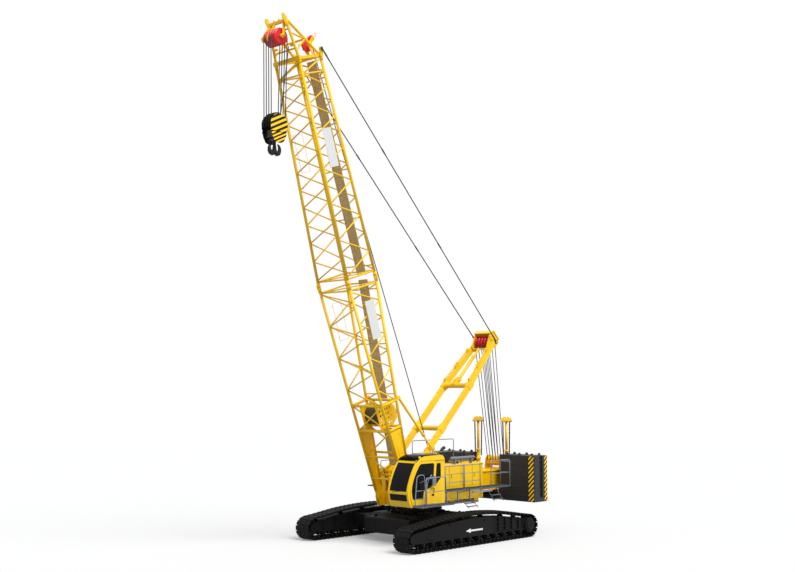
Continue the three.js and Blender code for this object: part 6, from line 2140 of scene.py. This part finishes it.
upper_stripes = stripes_with_painted_glow("block_stripes_upper_painted_glow", "X", 0.5, 0.21)
lower_stripes = stripes_with_painted_glow("block_stripes_lower_painted_glow", "X", 0.5, 0.15)
block_black = finish("hook_block_black", (26, 26, 27), 0.38, 0.1, 0.12, 60, 0.004, 0.2)
hook_block = Work()
crown = [
    (head_x + 0.43 * math.cos(math.radians(w)), 16.80 + 0.42 * math.sin(math.radians(w)))
    for w in range(-12, 193, 12)
]
top_cheek = [
    (head_x + 0.33, 16.47), (head_x + 0.42, 16.62)
] + crown + [(head_x - 0.42, 16.62), (head_x - 0.33, 16.47)]
low_cheek = [
    (head_x - 0.41, 16.52), (head_x - 0.33, 16.29), (head_x - 0.22, 16.10), (head_x - 0.12, 16.06),
    (head_x + 0.12, 16.06), (head_x + 0.22, 16.10), (head_x + 0.33, 16.29), (head_x + 0.41, 16.52),
]
for side in (-1, 1):
    hook_block.use(0)
    a, b = (0.262, 0.288) if side > 0 else (-0.288, -0.262)
    hook_block.prism(top_cheek, a, b)
    hook_block.prism(low_cheek, a, b)
    face = 0.2885 if side > 0 else -0.2905
    hook_block.use(1).prism(top_cheek, face, face + 0.002)
    hook_block.use(2).prism(low_cheek, face, face + 0.002)
hook_block.use(0)
hook_block.rod((head_x, -0.285, hook_axle_z), (head_x, 0.285, hook_axle_z), 0.058, sides=24)
for side in (-1, 1):
    for w in (-20, 30, 90, 150, 200):
        p = (head_x + 0.40 * math.cos(math.radians(w)), 16.88 + 0.38 * math.sin(math.radians(w)))
        hook_block.rod((p[0], -0.27, p[1]), (p[0], 0.27, p[1]), 0.022, sides=12)
shroud_z = 16.84
for y in (-0.15, 0.0, 0.15):
    shroud = arc_points(head_x, shroud_z, 0.45, range(-24, 205, 12))
    inside = circle(head_x, shroud_z, 0.25, 20)
    hook_block.prism(shroud, y - 0.008, y + 0.008, [inside])
bore = circle(head_x, 0, 0.0625, 28)
hook_block.prism(
    [
        (head_x - 0.17, -0.285), (head_x + 0.17, -0.285), (head_x + 0.17, 0.285),
        (head_x - 0.17, 0.285),
    ],
    16.17, 16.35, [bore], axis="z",
)
for x in (-0.24, 0.24):
    hook_block.beam((head_x + x, -0.262, 16.42), (head_x + x, 0.262, 16.42), 0.03, 0.30, (1, 0, 0))
hook_block.make(
    "hook_block_frame", [block_black, upper_stripes, lower_stripes], "hook_block", ["hook_block"],
    "black_paint", 0.006,
)
block_row = Work()
sheave_row(block_row, head_x, hook_axle_z, [-0.225, -0.075, 0.075, 0.225], 0.34, 0.06)
block_row.make(
    "hook_block_wheels", [block_black], "hook_block_sheaves", ["hook_block_sheaves"], "black_paint"
)
hook = Work()
for side in (-1, 1):
    path = [
        (0.0, 16.02), (0.01, 15.86), (0.04, 15.72), (0.12, 15.675), (0.20, 15.70), (0.25, 15.78),
        (0.262, 15.87), (0.24, 15.96), (0.195, 16.02), (0.15, 16.05),
    ]
    widths = [0.06, 0.07, 0.09, 0.108, 0.10, 0.08, 0.068, 0.055, 0.04, 0.018]
    hook.pipe([(head_x + side * x, 0, z) for x, z in path], widths, 14)
hook.turned(
    (head_x, 0, 15.62), (head_x, 0, 16.45),
    [(0, 0.07), (0.3, 0.082), (0.5, 0.06), (0.88, 0.06), (0.881, 0.105), (0.98, 0.105), (1, 0.09)],
    28,
)
hook_steel = finish("forged_hook_black", (30, 30, 31), 0.42, 0.35, 0.15, 40, 0.006)
hook.make("double_hook", [hook_steel], "hook", ["hook"], "black_paint")
